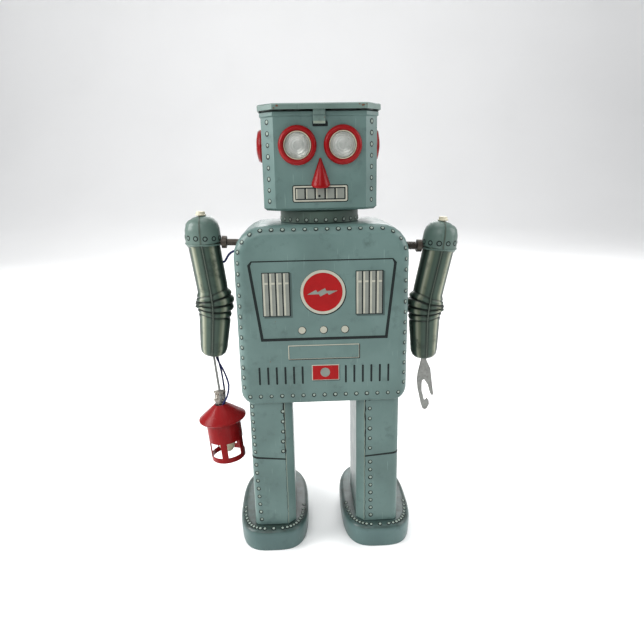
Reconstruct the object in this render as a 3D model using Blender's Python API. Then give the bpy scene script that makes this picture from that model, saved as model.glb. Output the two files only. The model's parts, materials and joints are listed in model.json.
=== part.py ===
"""Tin walking robot: litho tin shells over a clockwork drive, with a hand lantern."""
import math
import bmesh
import bpy
from mathutils import Vector

MM = 0.001                      # every size below is in millimetres
GAP = 0.3                       # air kept between neighbouring pieces
TIN = 0.6                       # sheet thickness of the pressed shells

# Head and lid
HEAD_HALF, HEAD_FRONT, HEAD_BACK, HEAD_CHAMFER = 23.3, 20.0, 19.2, 5.0
HEAD_Z0, HEAD_Z1 = 156.2, 194.4
LID_HALF, LID_FRONT, LID_BACK, LID_CHAMFER = 24.5, 22.5, 22.4, 6.0
LID_Z0, LID_Z1 = 194.7, 197.0
HINGE_Y, HINGE_Z = 21.3, 193.2
EYE_X, EYE_Z = 9.0, 181.5
EAR_Z = 182.2
NECK_R, NECK_Z0, NECK_Z1 = 17.1, 150.8, 155.9

# Torso
TORSO_HALF, TORSO_Z0, TORSO_Z1 = 36.7, 72.5, 150.5
TORSO_FRONT, TORSO_BACK = 23.0, 22.3
CORNER_TOP, CORNER_BOTTOM = 13.0, 6.0

# Battery, its door and the lamp switch
BATTERY_Y, BATTERY_Z, BATTERY_R = 13.0, 134.0, 7.0
DOOR_HALF, DOOR_Z0, DOOR_Z1 = 27.0, 126.0, 142.0
SWITCH_X, SWITCH_Z = 19.5, 100.0

# Legs and feet
LEG_IN, LEG_OUT, LEG_FRONT, LEG_BACK = 14.4, 33.6, 21.2, 14.2
LEG_Z0, LEG_Z1 = 11.1, 83.0
FOOT_X, FOOT_Y, FOOT_HALF, FOOT_REACH, FOOT_H = 25.0, 4.0, 16.7, 30.0, 10.8
HIP_Z = 79.0
ROLLER_Y, ROLLER_R = 18.0, 3.9

# Clockwork: all cross shafts share one depth, the barrel turns about Y behind them
SHAFT_Y = -0.5
BARREL_Z, CRANK_Z = 108.0, 91.2
BARREL_R, BARREL_Y0, BARREL_Y1 = 15.0, 5.0, 14.0
CROWN_TEETH, CROWN_PINION_TEETH, CROWN_MODULE = 24, 8, 1.1
WHEEL_TEETH, CRANK_TEETH, WHEEL_MODULE = 30, 12, 0.8
GOVERNOR_WHEEL_TEETH, GOVERNOR_TEETH, GOVERNOR_MODULE = 20, 8, 0.5
GOVERNOR_DISTANCE, GOVERNOR_ANGLE = 7.15, math.radians(141)
PLATE_X, PLATE_T = 18.0, 0.8
PAWL_X, PAWL_Z = 9.0, 114.5
WING_X, WING_Y = 6.4, 33.0      # centres of the winding key's two rings
CRANK_THROW = 1.3
LEVER_X, LEVER_TOP_Z = 21.4, 119.0

# Arms: modelled about a shoulder line that leans down towards the left hand
SHOULDER = (1.2, 0.0, 140.05)
SHOULDER_TILT = math.radians(2.4)
ARM_WALL = 0.5
ARM_SIDES = 9                   # facets round each half of an arm
WRIST_X, WRIST_Z = 50.0, -53.0
RIGHT_HAND_LIFT = 3.4
RIGHT_HAND_TURN = math.radians(80)
RIGHT_HAND_LEAN = math.radians(7.5)
RIGHT_HAND_SHIFT = -0.4
HOOK = (2.1, -20.9)             # where the hanger wire sits in the claw, from the wrist

# Lantern, measured down its own axis from the top of the roof
LANTERN_TILT = math.radians(5)
LANTERN_TOP_Z = 65.2

# Wires
WIRE_R, SHOULDER_WIRE_R = 0.45, 0.5

# Looks: base colour, roughness, metallic
TEAL = ((0.22, 0.36, 0.35), 0.38, 0.1)
ARM_GREEN = ((0.20, 0.29, 0.24), 0.35, 0.3)
RED = ((0.60, 0.02, 0.03), 0.25, 0.0)
GLASS = ((0.85, 0.88, 0.86), 0.05, 0.0)
BULB = ((0.88, 0.86, 0.70), 0.1, 0.0)
STEEL = ((0.55, 0.55, 0.53), 0.35, 1.0)
DARK_STEEL = ((0.10, 0.09, 0.08), 0.45, 0.9)
BRASS = ((0.70, 0.52, 0.25), 0.3, 1.0)
CREAM = ((0.78, 0.75, 0.62), 0.5, 0.0)
BLUE = ((0.02, 0.03, 0.12), 0.4, 0.0)
CELL = ((0.30, 0.06, 0.05), 0.4, 0.0)


# ---------------------------------------------------------------- mesh helpers

def circle(radius, height, axis="z", centre=(0, 0), count=24, phase=0.0):
    """A ring of points round an axis, at a height along it."""
    ring = []
    for i in range(count):
        a = phase + 2 * math.pi * i / count
        u = centre[0] + radius * math.cos(a)
        v = centre[1] + radius * math.sin(a)
        ring.append(to_axis(u, v, height, axis))
    return ring


def to_axis(u, v, h, axis):
    """Plane coordinates u, v and a height h along the axis, as x, y, z."""
    return {"x": (h, u, v), "y": (u, h, v), "z": (u, v, h)}[axis]


def loft(rings, wrap=False):
    """Quads between rings of equal length, capped at both ends or wrapped round."""
    count = len(rings[0])
    verts = [p for ring in rings for p in ring]
    faces = []
    last = len(rings) if wrap else len(rings) - 1
    for i in range(last):
        a = i * count
        b = ((i + 1) % len(rings)) * count
        for k in range(count):
            n = (k + 1) % count
            faces.append((a + k, a + n, b + n, b + k))
    if not wrap:
        faces.append(tuple(range(count)))
        faces.append(tuple((len(rings) - 1) * count + k for k in range(count)))
    return verts, faces


def turned(profile, axis="z", centre=(0, 0), count=24, wrap=False):
    """A profile of (radius, height) points spun round an axis."""
    return loft([circle(r, h, axis, centre, count) for r, h in profile], wrap)


def rod(radius, start, end, axis="z", centre=(0, 0), count=12):
    return turned([(radius, start), (radius, end)], axis, centre, count)


def prism(outline, start, end, axis="z"):
    """A flat outline given a thickness along an axis."""
    return loft([[to_axis(u, v, h, axis) for u, v in outline] for h in (start, end)])


def box(x0, x1, y0, y1, z0, z1):
    return prism([(x0, y0), (x1, y0), (x1, y1), (x0, y1)], z0, z1)


def sweep(path, radius, count=8):
    """A round wire along a list of points."""
    points = [Vector(p) for p in path]
    side = Vector((0, 1, 0))
    rings = []
    for i, p in enumerate(points):
        ahead = points[min(i + 1, len(points) - 1)] - points[max(i - 1, 0)]
        ahead.normalize()
        side = (side - ahead * side.dot(ahead)).normalized()
        other = ahead.cross(side)
        ring = []
        for k in range(count):
            a = 2 * math.pi * k / count
            ring.append(tuple(p + radius * (side * math.cos(a) + other * math.sin(a))))
        rings.append(ring)
    return loft(rings)


def sheet(front, back):
    """A thin wall between two grids of points with the same rows and columns."""
    rows, cols = len(front), len(front[0])
    verts = [p for row in front for p in row] + [p for row in back for p in row]
    faces = []
    half = rows * cols

    def at(i, k, side):
        return side * half + i * cols + k

    for i in range(rows - 1):
        for k in range(cols - 1):
            faces.append((at(i, k, 0), at(i, k + 1, 0), at(i + 1, k + 1, 0), at(i + 1, k, 0)))
            faces.append((at(i, k, 1), at(i + 1, k, 1), at(i + 1, k + 1, 1), at(i, k + 1, 1)))
    for i in range(rows - 1):
        for k in (0, cols - 1):
            faces.append((at(i, k, 0), at(i + 1, k, 0), at(i + 1, k, 1), at(i, k, 1)))
    for k in range(cols - 1):
        for i in (0, rows - 1):
            faces.append((at(i, k, 0), at(i, k + 1, 0), at(i, k + 1, 1), at(i, k, 1)))
    return verts, faces


def merge(*shapes):
    """Several shapes as one mesh, for cutters."""
    verts, faces = [], []
    for v, f in shapes:
        offset = len(verts)
        verts += v
        faces += [tuple(i + offset for i in face) for face in f]
    return verts, faces


def mapped(shape, change):
    """A shape with every point put through a function."""
    return [change(p) for p in shape[0]], shape[1]


def arc(cx, cy, radius, start, end, steps=5):
    """Points of an arc, in degrees."""
    points = []
    for i in range(steps + 1):
        a = math.radians(start + (end - start) * i / steps)
        points.append((cx + radius * math.cos(a), cy + radius * math.sin(a)))
    return points


def inset(outline, distance):
    """An anticlockwise outline moved inwards by a distance, with mitred corners."""
    result = []
    for i, p in enumerate(outline):
        p = Vector(p)
        before = (p - Vector(outline[i - 1])).normalized()
        after = (Vector(outline[(i + 1) % len(outline)]) - p).normalized()
        n0 = Vector((-before.y, before.x))
        n1 = Vector((-after.y, after.x))
        mitre = (n0 + n1) / max(1 + n0.dot(n1), 0.2)
        result.append(tuple(p + mitre * distance))
    return result


# -------------------------------------------------------------- object helpers

def material(name, look):
    mat = bpy.data.materials.new(name)
    mat.use_nodes = True
    shader = mat.node_tree.nodes["Principled BSDF"]
    shader.inputs["Base Color"].default_value = (*look[0], 1)
    shader.inputs["Roughness"].default_value = look[1]
    shader.inputs["Metallic"].default_value = look[2]
    return mat


def solid(name, shape, look=None, pivot=(0, 0, 0)):
    """An object from verts and faces in millimetres, with its origin on the pivot."""
    bm = bmesh.new()
    points = [bm.verts.new((Vector(p) - Vector(pivot)) * MM) for p in shape[0]]
    for face in shape[1]:
        bm.faces.new([points[i] for i in face])
    bmesh.ops.recalc_face_normals(bm, faces=bm.faces)
    for edge in bm.edges:
        edge.smooth = edge.calc_face_angle(0) < math.radians(35)
    for face in bm.faces:
        face.smooth = True
    mesh = bpy.data.meshes.new(name)
    bm.to_mesh(mesh)
    bm.free()
    obj = bpy.data.objects.new(name, mesh)
    obj.location = Vector(pivot) * MM
    bpy.context.scene.collection.objects.link(obj)
    if look:
        mesh.materials.append(material(name, look))
    return obj


def combine(obj, shape, operation):
    """Adds a shape to an object, or cuts it out, with a live Boolean."""
    tool = solid(obj.name + "_" + operation.lower(), shape)
    tool.hide_render = True
    tool.display_type = "WIRE"
    boolean = obj.modifiers.new(operation.lower(), "BOOLEAN")
    boolean.operation = operation
    boolean.solver = "EXACT"
    boolean.object = tool


def cut(obj, *shapes):
    combine(obj, merge(*shapes), "DIFFERENCE")


def add(obj, *shapes):
    for shape in shapes:
        combine(obj, shape, "UNION")


def both_sides():
    """Name and side factor: the robot's right is at -X."""
    return (("right", -1), ("left", 1))


# ------------------------------------------------------------------------ head

def chamfered(half, front, back, chamfer, off):
    """A rectangle with 45 degree corners, moved inwards by off."""
    c = chamfer - off * (2 - math.sqrt(2))
    x, y0, y1 = half - off, -(front - off), back - off
    return [(-x + c, y0), (x - c, y0), (x, y0 + c), (x, y1 - c),
            (x - c, y1), (-x + c, y1), (-x, y1 - c), (-x, y0 + c)]


def tray(outline, levels):
    """Rings of one outline: each level is (inset, z)."""
    return loft([[(x, y, z) for x, y in outline(off)] for off, z in levels])


def hinge_barrel(x0, x1):
    return rod(1.15, x0, x1, "x", (HINGE_Y, HINGE_Z), 16)


def build_head():
    levels = [(1.2, HEAD_Z0), (0, HEAD_Z0 + 1), (0, HEAD_Z1 - 2.2), (-0.5, HEAD_Z1 - 1.8),
              (-0.5, HEAD_Z1 - 0.4), (0, HEAD_Z1), (TIN, HEAD_Z1), (TIN, HEAD_Z0 + 1),
              (1.2 + TIN, HEAD_Z0 + TIN)]
    head = solid("head_shell", tray(
        lambda off: chamfered(HEAD_HALF, HEAD_FRONT, HEAD_BACK, HEAD_CHAMFER, off), levels), TEAL)
    for side in (-1, 1):
        x0, x1 = sorted((side * 7.4, side * 11))
        add(head, box(x0, x1, HEAD_BACK - 0.3, HINGE_Y, HINGE_Z - 0.9, HINGE_Z + 0.6), hinge_barrel(x0, x1))
    holes = [rod(4.6, -HEAD_FRONT - 3, -HEAD_FRONT + 3, "y", (s * EYE_X, EYE_Z), 20) for s in (-1, 1)]
    holes.append(box(-2.9, 2.9, -HEAD_FRONT - 1, -HEAD_FRONT + 2, 189.0, 190.7))
    holes.append(rod(0.45, -HEAD_FRONT - 1, -HEAD_FRONT + 2, "y", (-0.6, 161.9), 8))
    holes.append(rod(5.5, HEAD_Z0 - 1, HEAD_Z0 + 2, "z", (0, 0), 16))
    holes.append(rod(0.85, -12, 12, "x", (HINGE_Y, HINGE_Z), 12))
    cut(head, *holes)


def build_face():
    front = -HEAD_FRONT - GAP
    for name, side in both_sides():
        eye = (side * EYE_X, EYE_Z)
        ring = [(5.4, front), (7.65, front), (7.65, front - 0.6), (7.2, front - 1.7),
                (6.5, front - 2.3), (5.9, front - 2.0), (5.4, front - 1.2)]
        solid("eye_bezel_" + name, turned(ring, "y", eye, 28, wrap=True), RED)
        dome = [(5.1, front), (5.1, front - 0.8), (4.3, front - 1.9), (2.7, front - 2.8), (0.8, front - 3.2)]
        solid("eye_lens_" + name, turned(dome, "y", eye, 24), GLASS)
        ear = [(6.8, side * (HEAD_HALF + GAP)), (6.8, side * (HEAD_HALF + 1.2)),
               (6.1, side * (HEAD_HALF + 2.2)), (3.0, side * (HEAD_HALF + 2.9)), (0.8, side * (HEAD_HALF + 3))]
        solid("ear_" + name, turned(ear, "x", (0, EAR_Z), 24), RED)
    solid("nose_cone", nose_shape(front), RED)


def nose_shape(back):
    """Half a cone standing on its back, its foot dipping towards the front."""
    rings = []
    for z, width, depth, dip in ((176.6, 0.35, 0.35, 0), (171.5, 2.2, 2.4, 0.2),
                                 (167.0, 3.7, 4.2, 0.8), (166.0, 3.8, 4.3, 1.0)):
        ring = []
        for x, y in arc(0, 0, 1, 180, 360, 12):
            ring.append((x * width, back + y * depth, z + y * dip))
        rings.append(ring)
    return loft(rings)


def build_head_lamp():
    strip = [(-6, 157.1), (2.6, 157.1), (2.6, 174.5), (2.0, 174.5), (2.0, 157.7), (-6, 157.7)]
    bracket = solid("lamp_bracket", prism(strip, -4, 4, "x"), STEEL)
    add(bracket, turned([(2.9, 2.3), (2.9, -4.0), (2.3, -4.0), (2.3, 1.2)], "y", (0, 173.5), 16))
    bulb = [(1.9, 0.8), (1.9, -4.2), (3.0, -5.4), (3.6, -7.6), (3.0, -9.8), (1.2, -11.0)]
    solid("head_bulb", turned(bulb, "y", (0, 173.5), 20), BULB)


def build_lid():
    levels = [(0.5, LID_Z1), (0, LID_Z1 - 0.5), (0, LID_Z0), (TIN, LID_Z0), (TIN, LID_Z1 - 0.9),
              (TIN + 0.3, LID_Z1 - TIN)]
    pivot = (0, HINGE_Y, HINGE_Z)
    lid = solid("head_lid", tray(
        lambda off: chamfered(LID_HALF, LID_FRONT, LID_BACK, LID_CHAMFER, off), levels), TEAL, pivot)
    add(lid, box(-7, 7, 20.4, 22.0, HINGE_Z + 0.4, LID_Z1 - 0.3), hinge_barrel(-7, 7))
    cut(lid, rod(0.85, -8, 8, "x", (HINGE_Y, HINGE_Z), 12))
    solid("lid_hinge_pin", rod(0.55, -11.4, 11.4, "x", (HINGE_Y, HINGE_Z), 12), STEEL)
    hook = [(-21.6, 189.4), (-21.0, 189.4), (-21.0, 195.5), (-14, 195.5), (-14, 196.1), (-21.6, 196.1)]
    solid("lid_latch", prism(hook, -2.6, 2.2, "x"), TEAL, pivot)


def build_neck():
    wall = [(NECK_R, NECK_Z0), (NECK_R, NECK_Z1 - 0.5), (NECK_R - 0.5, NECK_Z1), (6, NECK_Z1),
            (6, NECK_Z1 - TIN), (NECK_R - 0.8, NECK_Z1 - TIN), (NECK_R - TIN, NECK_Z0)]
    solid("neck_collar", turned(wall, "z", (0, 0), 36, wrap=True), TEAL)


# ----------------------------------------------------------------------- torso

def torso_ring(y, side, bottom):
    """The torso's outline at one depth, pulled in by side and at the foot by bottom."""
    x, z0, z1 = TORSO_HALF - side, TORSO_Z0 + bottom, TORSO_Z1 - side
    r1 = CORNER_TOP - side
    r0 = max(CORNER_BOTTOM - side, 1.2)
    points = arc(x - r0, z0 + r0, r0, -90, 0, 4) + arc(x - r1, z1 - r1, r1, 0, 90, 6)
    points += arc(-x + r1, z1 - r1, r1, 90, 180, 6) + arc(-x + r0, z0 + r0, r0, 180, 270, 4)
    return [(px, y, pz) for px, pz in points]


def torso_half(face, rim, edge, foot):
    """A pressed half shell: rounded from its face to its sides, open at the seam."""
    toward = 1 if rim > face else -1
    rings = []
    for i in range(6):
        a = math.radians(90 * i / 5)
        rings.append(torso_ring(face + toward * edge * (1 - math.cos(a)),
                                edge * (1 - math.sin(a)), foot * (1 - math.sin(a))))
    rings.append(torso_ring(rim, 0, 0))
    rings.append(torso_ring(rim, TIN, TIN))
    for i in range(5, -1, -1):
        a = math.radians(90 * i / 5)
        e = edge - TIN
        rings.append(torso_ring(face + toward * (TIN + e * (1 - math.cos(a))),
                                TIN + e * (1 - math.sin(a)), TIN + max(foot - TIN, 0.4) * (1 - math.sin(a))))
    return loft(rings)


def leg_openings():
    return [box(*sorted((s * (LEG_IN - 0.5), s * (LEG_OUT + 0.5))), -LEG_FRONT - 0.7, LEG_BACK + 1,
                TORSO_Z0 - 2, TORSO_Z0 + 3) for s in (-1, 1)]


def build_torso():
    shoulders = [mapped(rod(2.0, *sorted((s * 30, s * 42)), "x", (0, 0), 12), from_shoulder) for s in (-1, 1)]
    neck_hole = rod(5.0, TORSO_Z1 - 3, TORSO_Z1 + 2, "z", (0, 0), 16)
    shared = leg_openings() + shoulders + [neck_hole]
    front = solid("torso_front_shell", torso_half(-TORSO_FRONT, -GAP / 2, 4.5, 1.6), TEAL)
    cut(front, *shared, rod(1.0, -40, -30, "x", (-4.0, 138.4), 10))
    back = solid("torso_back_shell", torso_half(TORSO_BACK, GAP / 2, 8, 3), TEAL)
    doorway = box(-DOOR_HALF - GAP, DOOR_HALF + GAP, 20, 24, DOOR_Z0 - GAP, DOOR_Z1 + GAP)
    switch_slot = box(SWITCH_X - 1.7, SWITCH_X + 5.7, 20, 24, SWITCH_Z - 1.2, SWITCH_Z + 1.2)
    cut(back, *shared, doorway, rod(2.0, 20, 24, "y", (0, BARREL_Z), 16), switch_slot)


def build_lamp_supply():
    centre = (BATTERY_Y, BATTERY_Z)
    cell = [(2.6, -25.2), (BATTERY_R, -24.9), (BATTERY_R, 23.6), (2.6, 23.9), (2.6, 25.3)]
    solid("battery", turned(cell, "x", centre, 24), CELL)
    trough = arc(*centre, BATTERY_R + GAP + TIN, 180, 360, 12) + arc(*centre, BATTERY_R + GAP, 360, 180, 12)
    holder = solid("battery_holder", prism(trough, -26.4, 26.4, "x"), STEEL)
    for s in (-1, 1):
        add(holder, box(*sorted((s * 25.8, s * 26.4)), 6.5, 19.5, 126.5, 139))
    hinge = (0, TORSO_BACK - 0.3, DOOR_Z0 + 0.2)
    door = box(-DOOR_HALF, DOOR_HALF, TORSO_BACK - TIN, TORSO_BACK, DOOR_Z0, DOOR_Z1)
    solid("battery_door", door, TEAL, hinge)
    knob = [(1.9, TORSO_BACK + 2.4), (1.9, TORSO_BACK + 0.4), (0.8, TORSO_BACK + 0.4),
            (0.8, TORSO_BACK - 1.1), (1.9, TORSO_BACK - 1.1), (1.9, TORSO_BACK - 2.0)]
    solid("lamp_switch", turned(knob, "y", (SWITCH_X, SWITCH_Z), 16), RED)


# ------------------------------------------------------------------- clockwork

def gear_outline(teeth, module, centre, phase):
    """Straight-sided teeth with working clearance; one tooth points along phase."""
    pitch = 2 * math.pi / teeth
    radius = teeth * module / 2
    points = []
    for k in range(teeth):
        for offset, r in ((-0.30, radius - module), (-0.12, radius + 0.8 * module),
                          (0.12, radius + 0.8 * module), (0.30, radius - module)):
            a = phase + (k + offset) * pitch
            points.append((centre[0] + r * math.cos(a), centre[1] + r * math.sin(a)))
    return points


def gear(teeth, module, centre, phase, x0, x1):
    return prism(gear_outline(teeth, module, centre, phase), x0, x1, "x")


def barrel_shape():
    """A cup for the mainspring with crown teeth standing on its front face."""
    pitch_y = SHAFT_Y + CROWN_PINION_TEETH * CROWN_MODULE / 2
    tip = pitch_y - 0.8 * CROWN_MODULE
    pitch = 2 * math.pi / CROWN_TEETH
    rings = []
    for k in range(CROWN_TEETH):
        for offset, crest in ((-0.25, BARREL_Y0 - 0.05), (-0.08, tip), (0.08, tip), (0.25, BARREL_Y0 - 0.05)):
            a = (k + 0.5 + offset) * pitch
            section = [(1.9, BARREL_Y0), (12, BARREL_Y0), (12, crest), (BARREL_R, crest), (BARREL_R, BARREL_Y1),
                       (BARREL_R - TIN, BARREL_Y1), (BARREL_R - TIN, BARREL_Y0 + 0.8), (1.9, BARREL_Y0 + 0.8)]
            rings.append([(r * math.cos(a), y, BARREL_Z + r * math.sin(a)) for r, y in section])
    return loft(rings, wrap=True)


def spring_shape(turns=5, steps=18, inner=2.8, outer=13.6, thick=0.45):
    """The coiled mainspring, a ribbon wound in a flat spiral."""
    rings = []
    for i in range(turns * steps + 1):
        a = 2 * math.pi * i / steps
        r = inner + (outer - inner) * i / (turns * steps)
        c, s = math.cos(a), math.sin(a)
        rings.append([((r + dr) * c, y, BARREL_Z + (r + dr) * s)
                      for dr, y in ((0, 6.2), (thick, 6.2), (thick, 13.5), (0, 13.5))])
    return loft(rings)


def build_winder():
    centre = (0, 0, BARREL_Z)
    solid("mainspring_barrel", barrel_shape(), BRASS, centre)
    solid("mainspring", spring_shape(), STEEL, centre)
    arbor = solid("winding_arbor", rod(1.5, 4.4, 26.2, "y", (0, BARREL_Z), 12), STEEL, centre)
    saw = []
    for k in range(12):
        a = 2 * math.pi * k / 12
        saw += [(5 * math.cos(a), BARREL_Z + 5 * math.sin(a)),
                (3.9 * math.cos(a + 0.06), BARREL_Z + 3.9 * math.sin(a + 0.06))]
    add(arbor, prism(saw, 14.9, 15.9, "y"))
    hub = [(2.6, 23.2), (2.6, 31), (2.0, 31.6), (0.6, 31.7)]
    bore = [(0.6, 26.9), (1.8, 26.6), (1.8, 23.2)]
    key = solid("winding_key", turned(bore + hub, "y", (0, BARREL_Z), 16), STEEL, centre)
    wings = arc(WING_X, WING_Y, 5, -140, 140, 10) + arc(-WING_X, WING_Y, 5, 40, 320, 10)
    add(key, prism(wings, BARREL_Z - 0.6, BARREL_Z + 0.6, "z"))
    cut(key, *[rod(2.4, BARREL_Z - 2, BARREL_Z + 2, "z", (s * (WING_X + 0.5), WING_Y), 14) for s in (-1, 1)])
    pawl = arc(PAWL_X, PAWL_Z, 1.4, -60, 150, 6) + [(4.4, 111.9), (4.1, 111.3), (5.2, 111.6)]
    solid("ratchet_pawl", prism(pawl, 14.9, 15.9, "y"), STEEL, (PAWL_X, 15.4, PAWL_Z))


def build_train():
    second = solid("second_wheel", rod(1.0, -19.2, 19.2, "x", (SHAFT_Y, BARREL_Z), 12), BRASS,
                   (0, SHAFT_Y, BARREL_Z))
    add(second, gear(CROWN_PINION_TEETH, CROWN_MODULE, (SHAFT_Y, BARREL_Z), 0, 12.1, 14.4),
        gear(WHEEL_TEETH, WHEEL_MODULE, (SHAFT_Y, BARREL_Z), -math.pi / 2, -16.6, -15.6))
    centre = (SHAFT_Y, CRANK_Z)
    crank = solid("crank_axle", rod(1.2, -19.6, 19.6, "x", centre, 12), STEEL, (0, *centre))
    add(crank, gear(CRANK_TEETH, WHEEL_MODULE, centre, math.pi / 2 + math.pi / CRANK_TEETH, -16.8, -15.4),
        gear(GOVERNOR_WHEEL_TEETH, GOVERNOR_MODULE, (SHAFT_Y, CRANK_Z), GOVERNOR_ANGLE, 15.6, 16.6))
    y, z = governor_centre()
    governor = solid("governor", rod(0.7, 6, 19.2, "x", (y, z), 10), BRASS, (0, y, z))
    add(governor, gear(GOVERNOR_TEETH, GOVERNOR_MODULE, (y, z),
                       GOVERNOR_ANGLE + math.pi + math.pi / GOVERNOR_TEETH, 15.4, 16.8),
        rod(5.0, 9, 10.5, "x", (y, z), 20))
    for name, side in both_sides():
        disc = [(3.2, side * 19.1), (3.2, side * 20.5)]
        bore = [(1.5, side * 19.9), (1.5, side * 19.1)]
        crank_disc = solid("crank_disc_" + name, turned(bore + disc, "x", (SHAFT_Y, CRANK_Z), 16), STEEL,
                           (0, SHAFT_Y, CRANK_Z))
        add(crank_disc, rod(0.6, *sorted((side * 20.3, side * 23.0)), "x",
                            (SHAFT_Y, CRANK_Z - side * CRANK_THROW), 10))


def governor_centre():
    return (SHAFT_Y + GOVERNOR_DISTANCE * math.cos(GOVERNOR_ANGLE),
            CRANK_Z + GOVERNOR_DISTANCE * math.sin(GOVERNOR_ANGLE))


def build_frame():
    """Two plates held apart by pillars, on a bracket that also carries the hip axle."""
    outline = [(-15, 87), (17.6, 87), (17.6, 122), (3.6, 124), (3.6, 144), (-5, 144), (-5, 124), (-15, 122)]
    plate = prism(outline, PLATE_X, PLATE_X + PLATE_T, "x")
    frame = solid("drive_frame", plate, STEEL)
    add(frame, mapped(plate, lambda p: (-p[0], p[1], p[2])))
    for centre in ((-12, 89.5), (12, 89.5), (-12, 118), (-1.0, 128)):
        add(frame, rod(1.3, -PLATE_X - 0.6, PLATE_X + 0.6, "x", centre, 10))
    holes = []
    for side in (-1, 1):
        span = sorted((side * (PLATE_X - 1), side * (PLATE_X + 2)))
        holes += [rod(1.35, *span, "x", (SHAFT_Y, BARREL_Z), 12), rod(1.6, *span, "x", (SHAFT_Y, CRANK_Z), 12),
                  rod(1.1, *span, "x", governor_centre(), 10),
                  mapped(rod(1.9, *sorted((side * 14, side * 22)), "x", (0, 0), 12), from_shoulder)]
    cut(frame, *holes)
    bridge = solid("arbor_bridge", box(-17.7, 17.7, 16.9, 17.6, 102, 114), STEEL)
    cut(bridge, rod(1.8, 15, 20, "y", (0, BARREL_Z), 14))
    base = TORSO_Z0 + TIN + GAP
    channel = [(-13.4, base), (13.4, base), (13.4, 94), (12.6, 94), (12.6, base + 0.8),
               (-12.6, base + 0.8), (-12.6, 94), (-13.4, 94)]
    bracket = solid("hip_bracket", prism(channel, -14.2, 14.2, "y"), STEEL)
    cut(bracket, rod(1.5, -15, 15, "x", (SHAFT_Y, HIP_Z), 12), rod(1.6, -15, 15, "x", (SHAFT_Y, CRANK_Z), 12),
        rod(1.6, -15, 15, "x", (-12, 89.5), 10), rod(1.6, -15, 15, "x", (12, 89.5), 10))
    solid("hip_axle", rod(1.2, -34.9, 34.9, "x", (SHAFT_Y, HIP_Z), 12), STEEL)


# ------------------------------------------------------------------------ legs

def leg_outline(side):
    """Seen from above: a cut front inner corner, the other corners rounded."""
    points = [(LEG_IN, -LEG_FRONT + 3.5), (LEG_IN + 3.5, -LEG_FRONT)]
    points += arc(LEG_OUT - 3, -LEG_FRONT + 3, 3, -90, 0, 4) + arc(LEG_OUT - 3, LEG_BACK - 3, 3, 0, 90, 4)
    points += arc(LEG_IN + 2, LEG_BACK - 2, 2, 90, 180, 3)
    if side < 0:
        points = [(-x, y) for x, y in reversed(points)]
    return points


def foot_outline(side):
    points = []
    for i in range(36):
        a = 2 * math.pi * i / 36
        power = 2 / 3.3 if math.sin(a) < 0 else 2 / 2.6
        x = math.copysign(abs(math.cos(a)) ** power, math.cos(a)) * FOOT_HALF
        y = math.copysign(abs(math.sin(a)) ** power, math.sin(a)) * FOOT_REACH
        points.append((side * FOOT_X + x, FOOT_Y + y))
    return points


def build_leg(name, side):
    hip = (side * (LEG_IN + LEG_OUT) / 2, SHAFT_Y, HIP_Z)
    levels = [(0, LEG_Z0), (0, LEG_Z1), (TIN, LEG_Z1), (TIN, LEG_Z0 + TIN)]
    leg = solid("leg_shell_" + name, tray(lambda off: inset(leg_outline(side), off), levels), TEAL, hip)
    cut(leg, rod(1.5, *sorted((side * 12, side * 36)), "x", (SHAFT_Y, HIP_Z), 12))
    foot_levels = [(3.2, FOOT_H), (1.3, FOOT_H - 0.3), (0.4, FOOT_H - 1.1), (0, FOOT_H - 2.4), (0.5, 0),
                   (1.2, 0), (TIN, FOOT_H - 2.6), (1.6, FOOT_H - 1.1), (3.4, FOOT_H - 0.7)]
    foot = solid("foot_" + name, tray(lambda off: inset(foot_outline(side), off), foot_levels), TEAL, hip)
    pin = (ROLLER_Y, ROLLER_R + GAP)
    cut(foot, rod(1.2, *sorted((side * 5, side * 45)), "x", pin, 10))
    centre = side * FOOT_X
    profile = [(0.8, centre - 15.2), (0.8, centre - 4.5), (ROLLER_R, centre - 4.2), (ROLLER_R, centre + 4.2),
               (0.8, centre + 4.5), (0.8, centre + 15.2)]
    solid("foot_roller_" + name, turned(profile, "x", pin, 18), DARK_STEEL, (centre, *pin))
    build_leg_lever(name, side, hip)


def build_leg_lever(name, side, hip):
    """The drive lever inside the leg: a window for the crank pin and a pin for the arm."""
    y = SHAFT_Y
    strip = [(y - 2.5, 75), (y + 2.5, 75), (y + 2.5, 85), (y + 5, 87), (y + 5, 95.5), (y + 2.5, 98),
             (y + 2.5, 121), (y - 2.5, 121), (y - 2.5, 98), (y - 5, 95.5), (y - 5, 87), (y - 2.5, 85)]
    span = sorted((side * LEVER_X, side * (LEVER_X + 0.8)))
    lever = solid("leg_lever_" + name, prism(strip, *span, "x"), STEEL, hip)
    foot_span = sorted((side * (LEG_IN + TIN + GAP), side * (LEG_OUT - TIN - GAP)))
    add(lever, box(*foot_span, y - 2.5, y + 2.5, 75, 75.8),
        rod(0.8, *sorted((side * (LEVER_X + 0.4), side * 26.2)), "x", (y, LEVER_TOP_Z), 10))
    cut(lever, rod(1.5, *sorted((side * 20, side * 24)), "x", (y, HIP_Z), 12),
        box(*sorted((side * 20, side * 24)), y - 3.3, y + 3.3, CRANK_Z - 2.6, CRANK_Z + 2.6))


# ------------------------------------------------------------------------ arms

def from_shoulder(point):
    """Shoulder coordinates to robot coordinates: the line leans down to the left."""
    c, s = math.cos(SHOULDER_TILT), math.sin(SHOULDER_TILT)
    x, y, z = point
    return (SHOULDER[0] + x * c + z * s, y, SHOULDER[2] - x * s + z * c)


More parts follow.
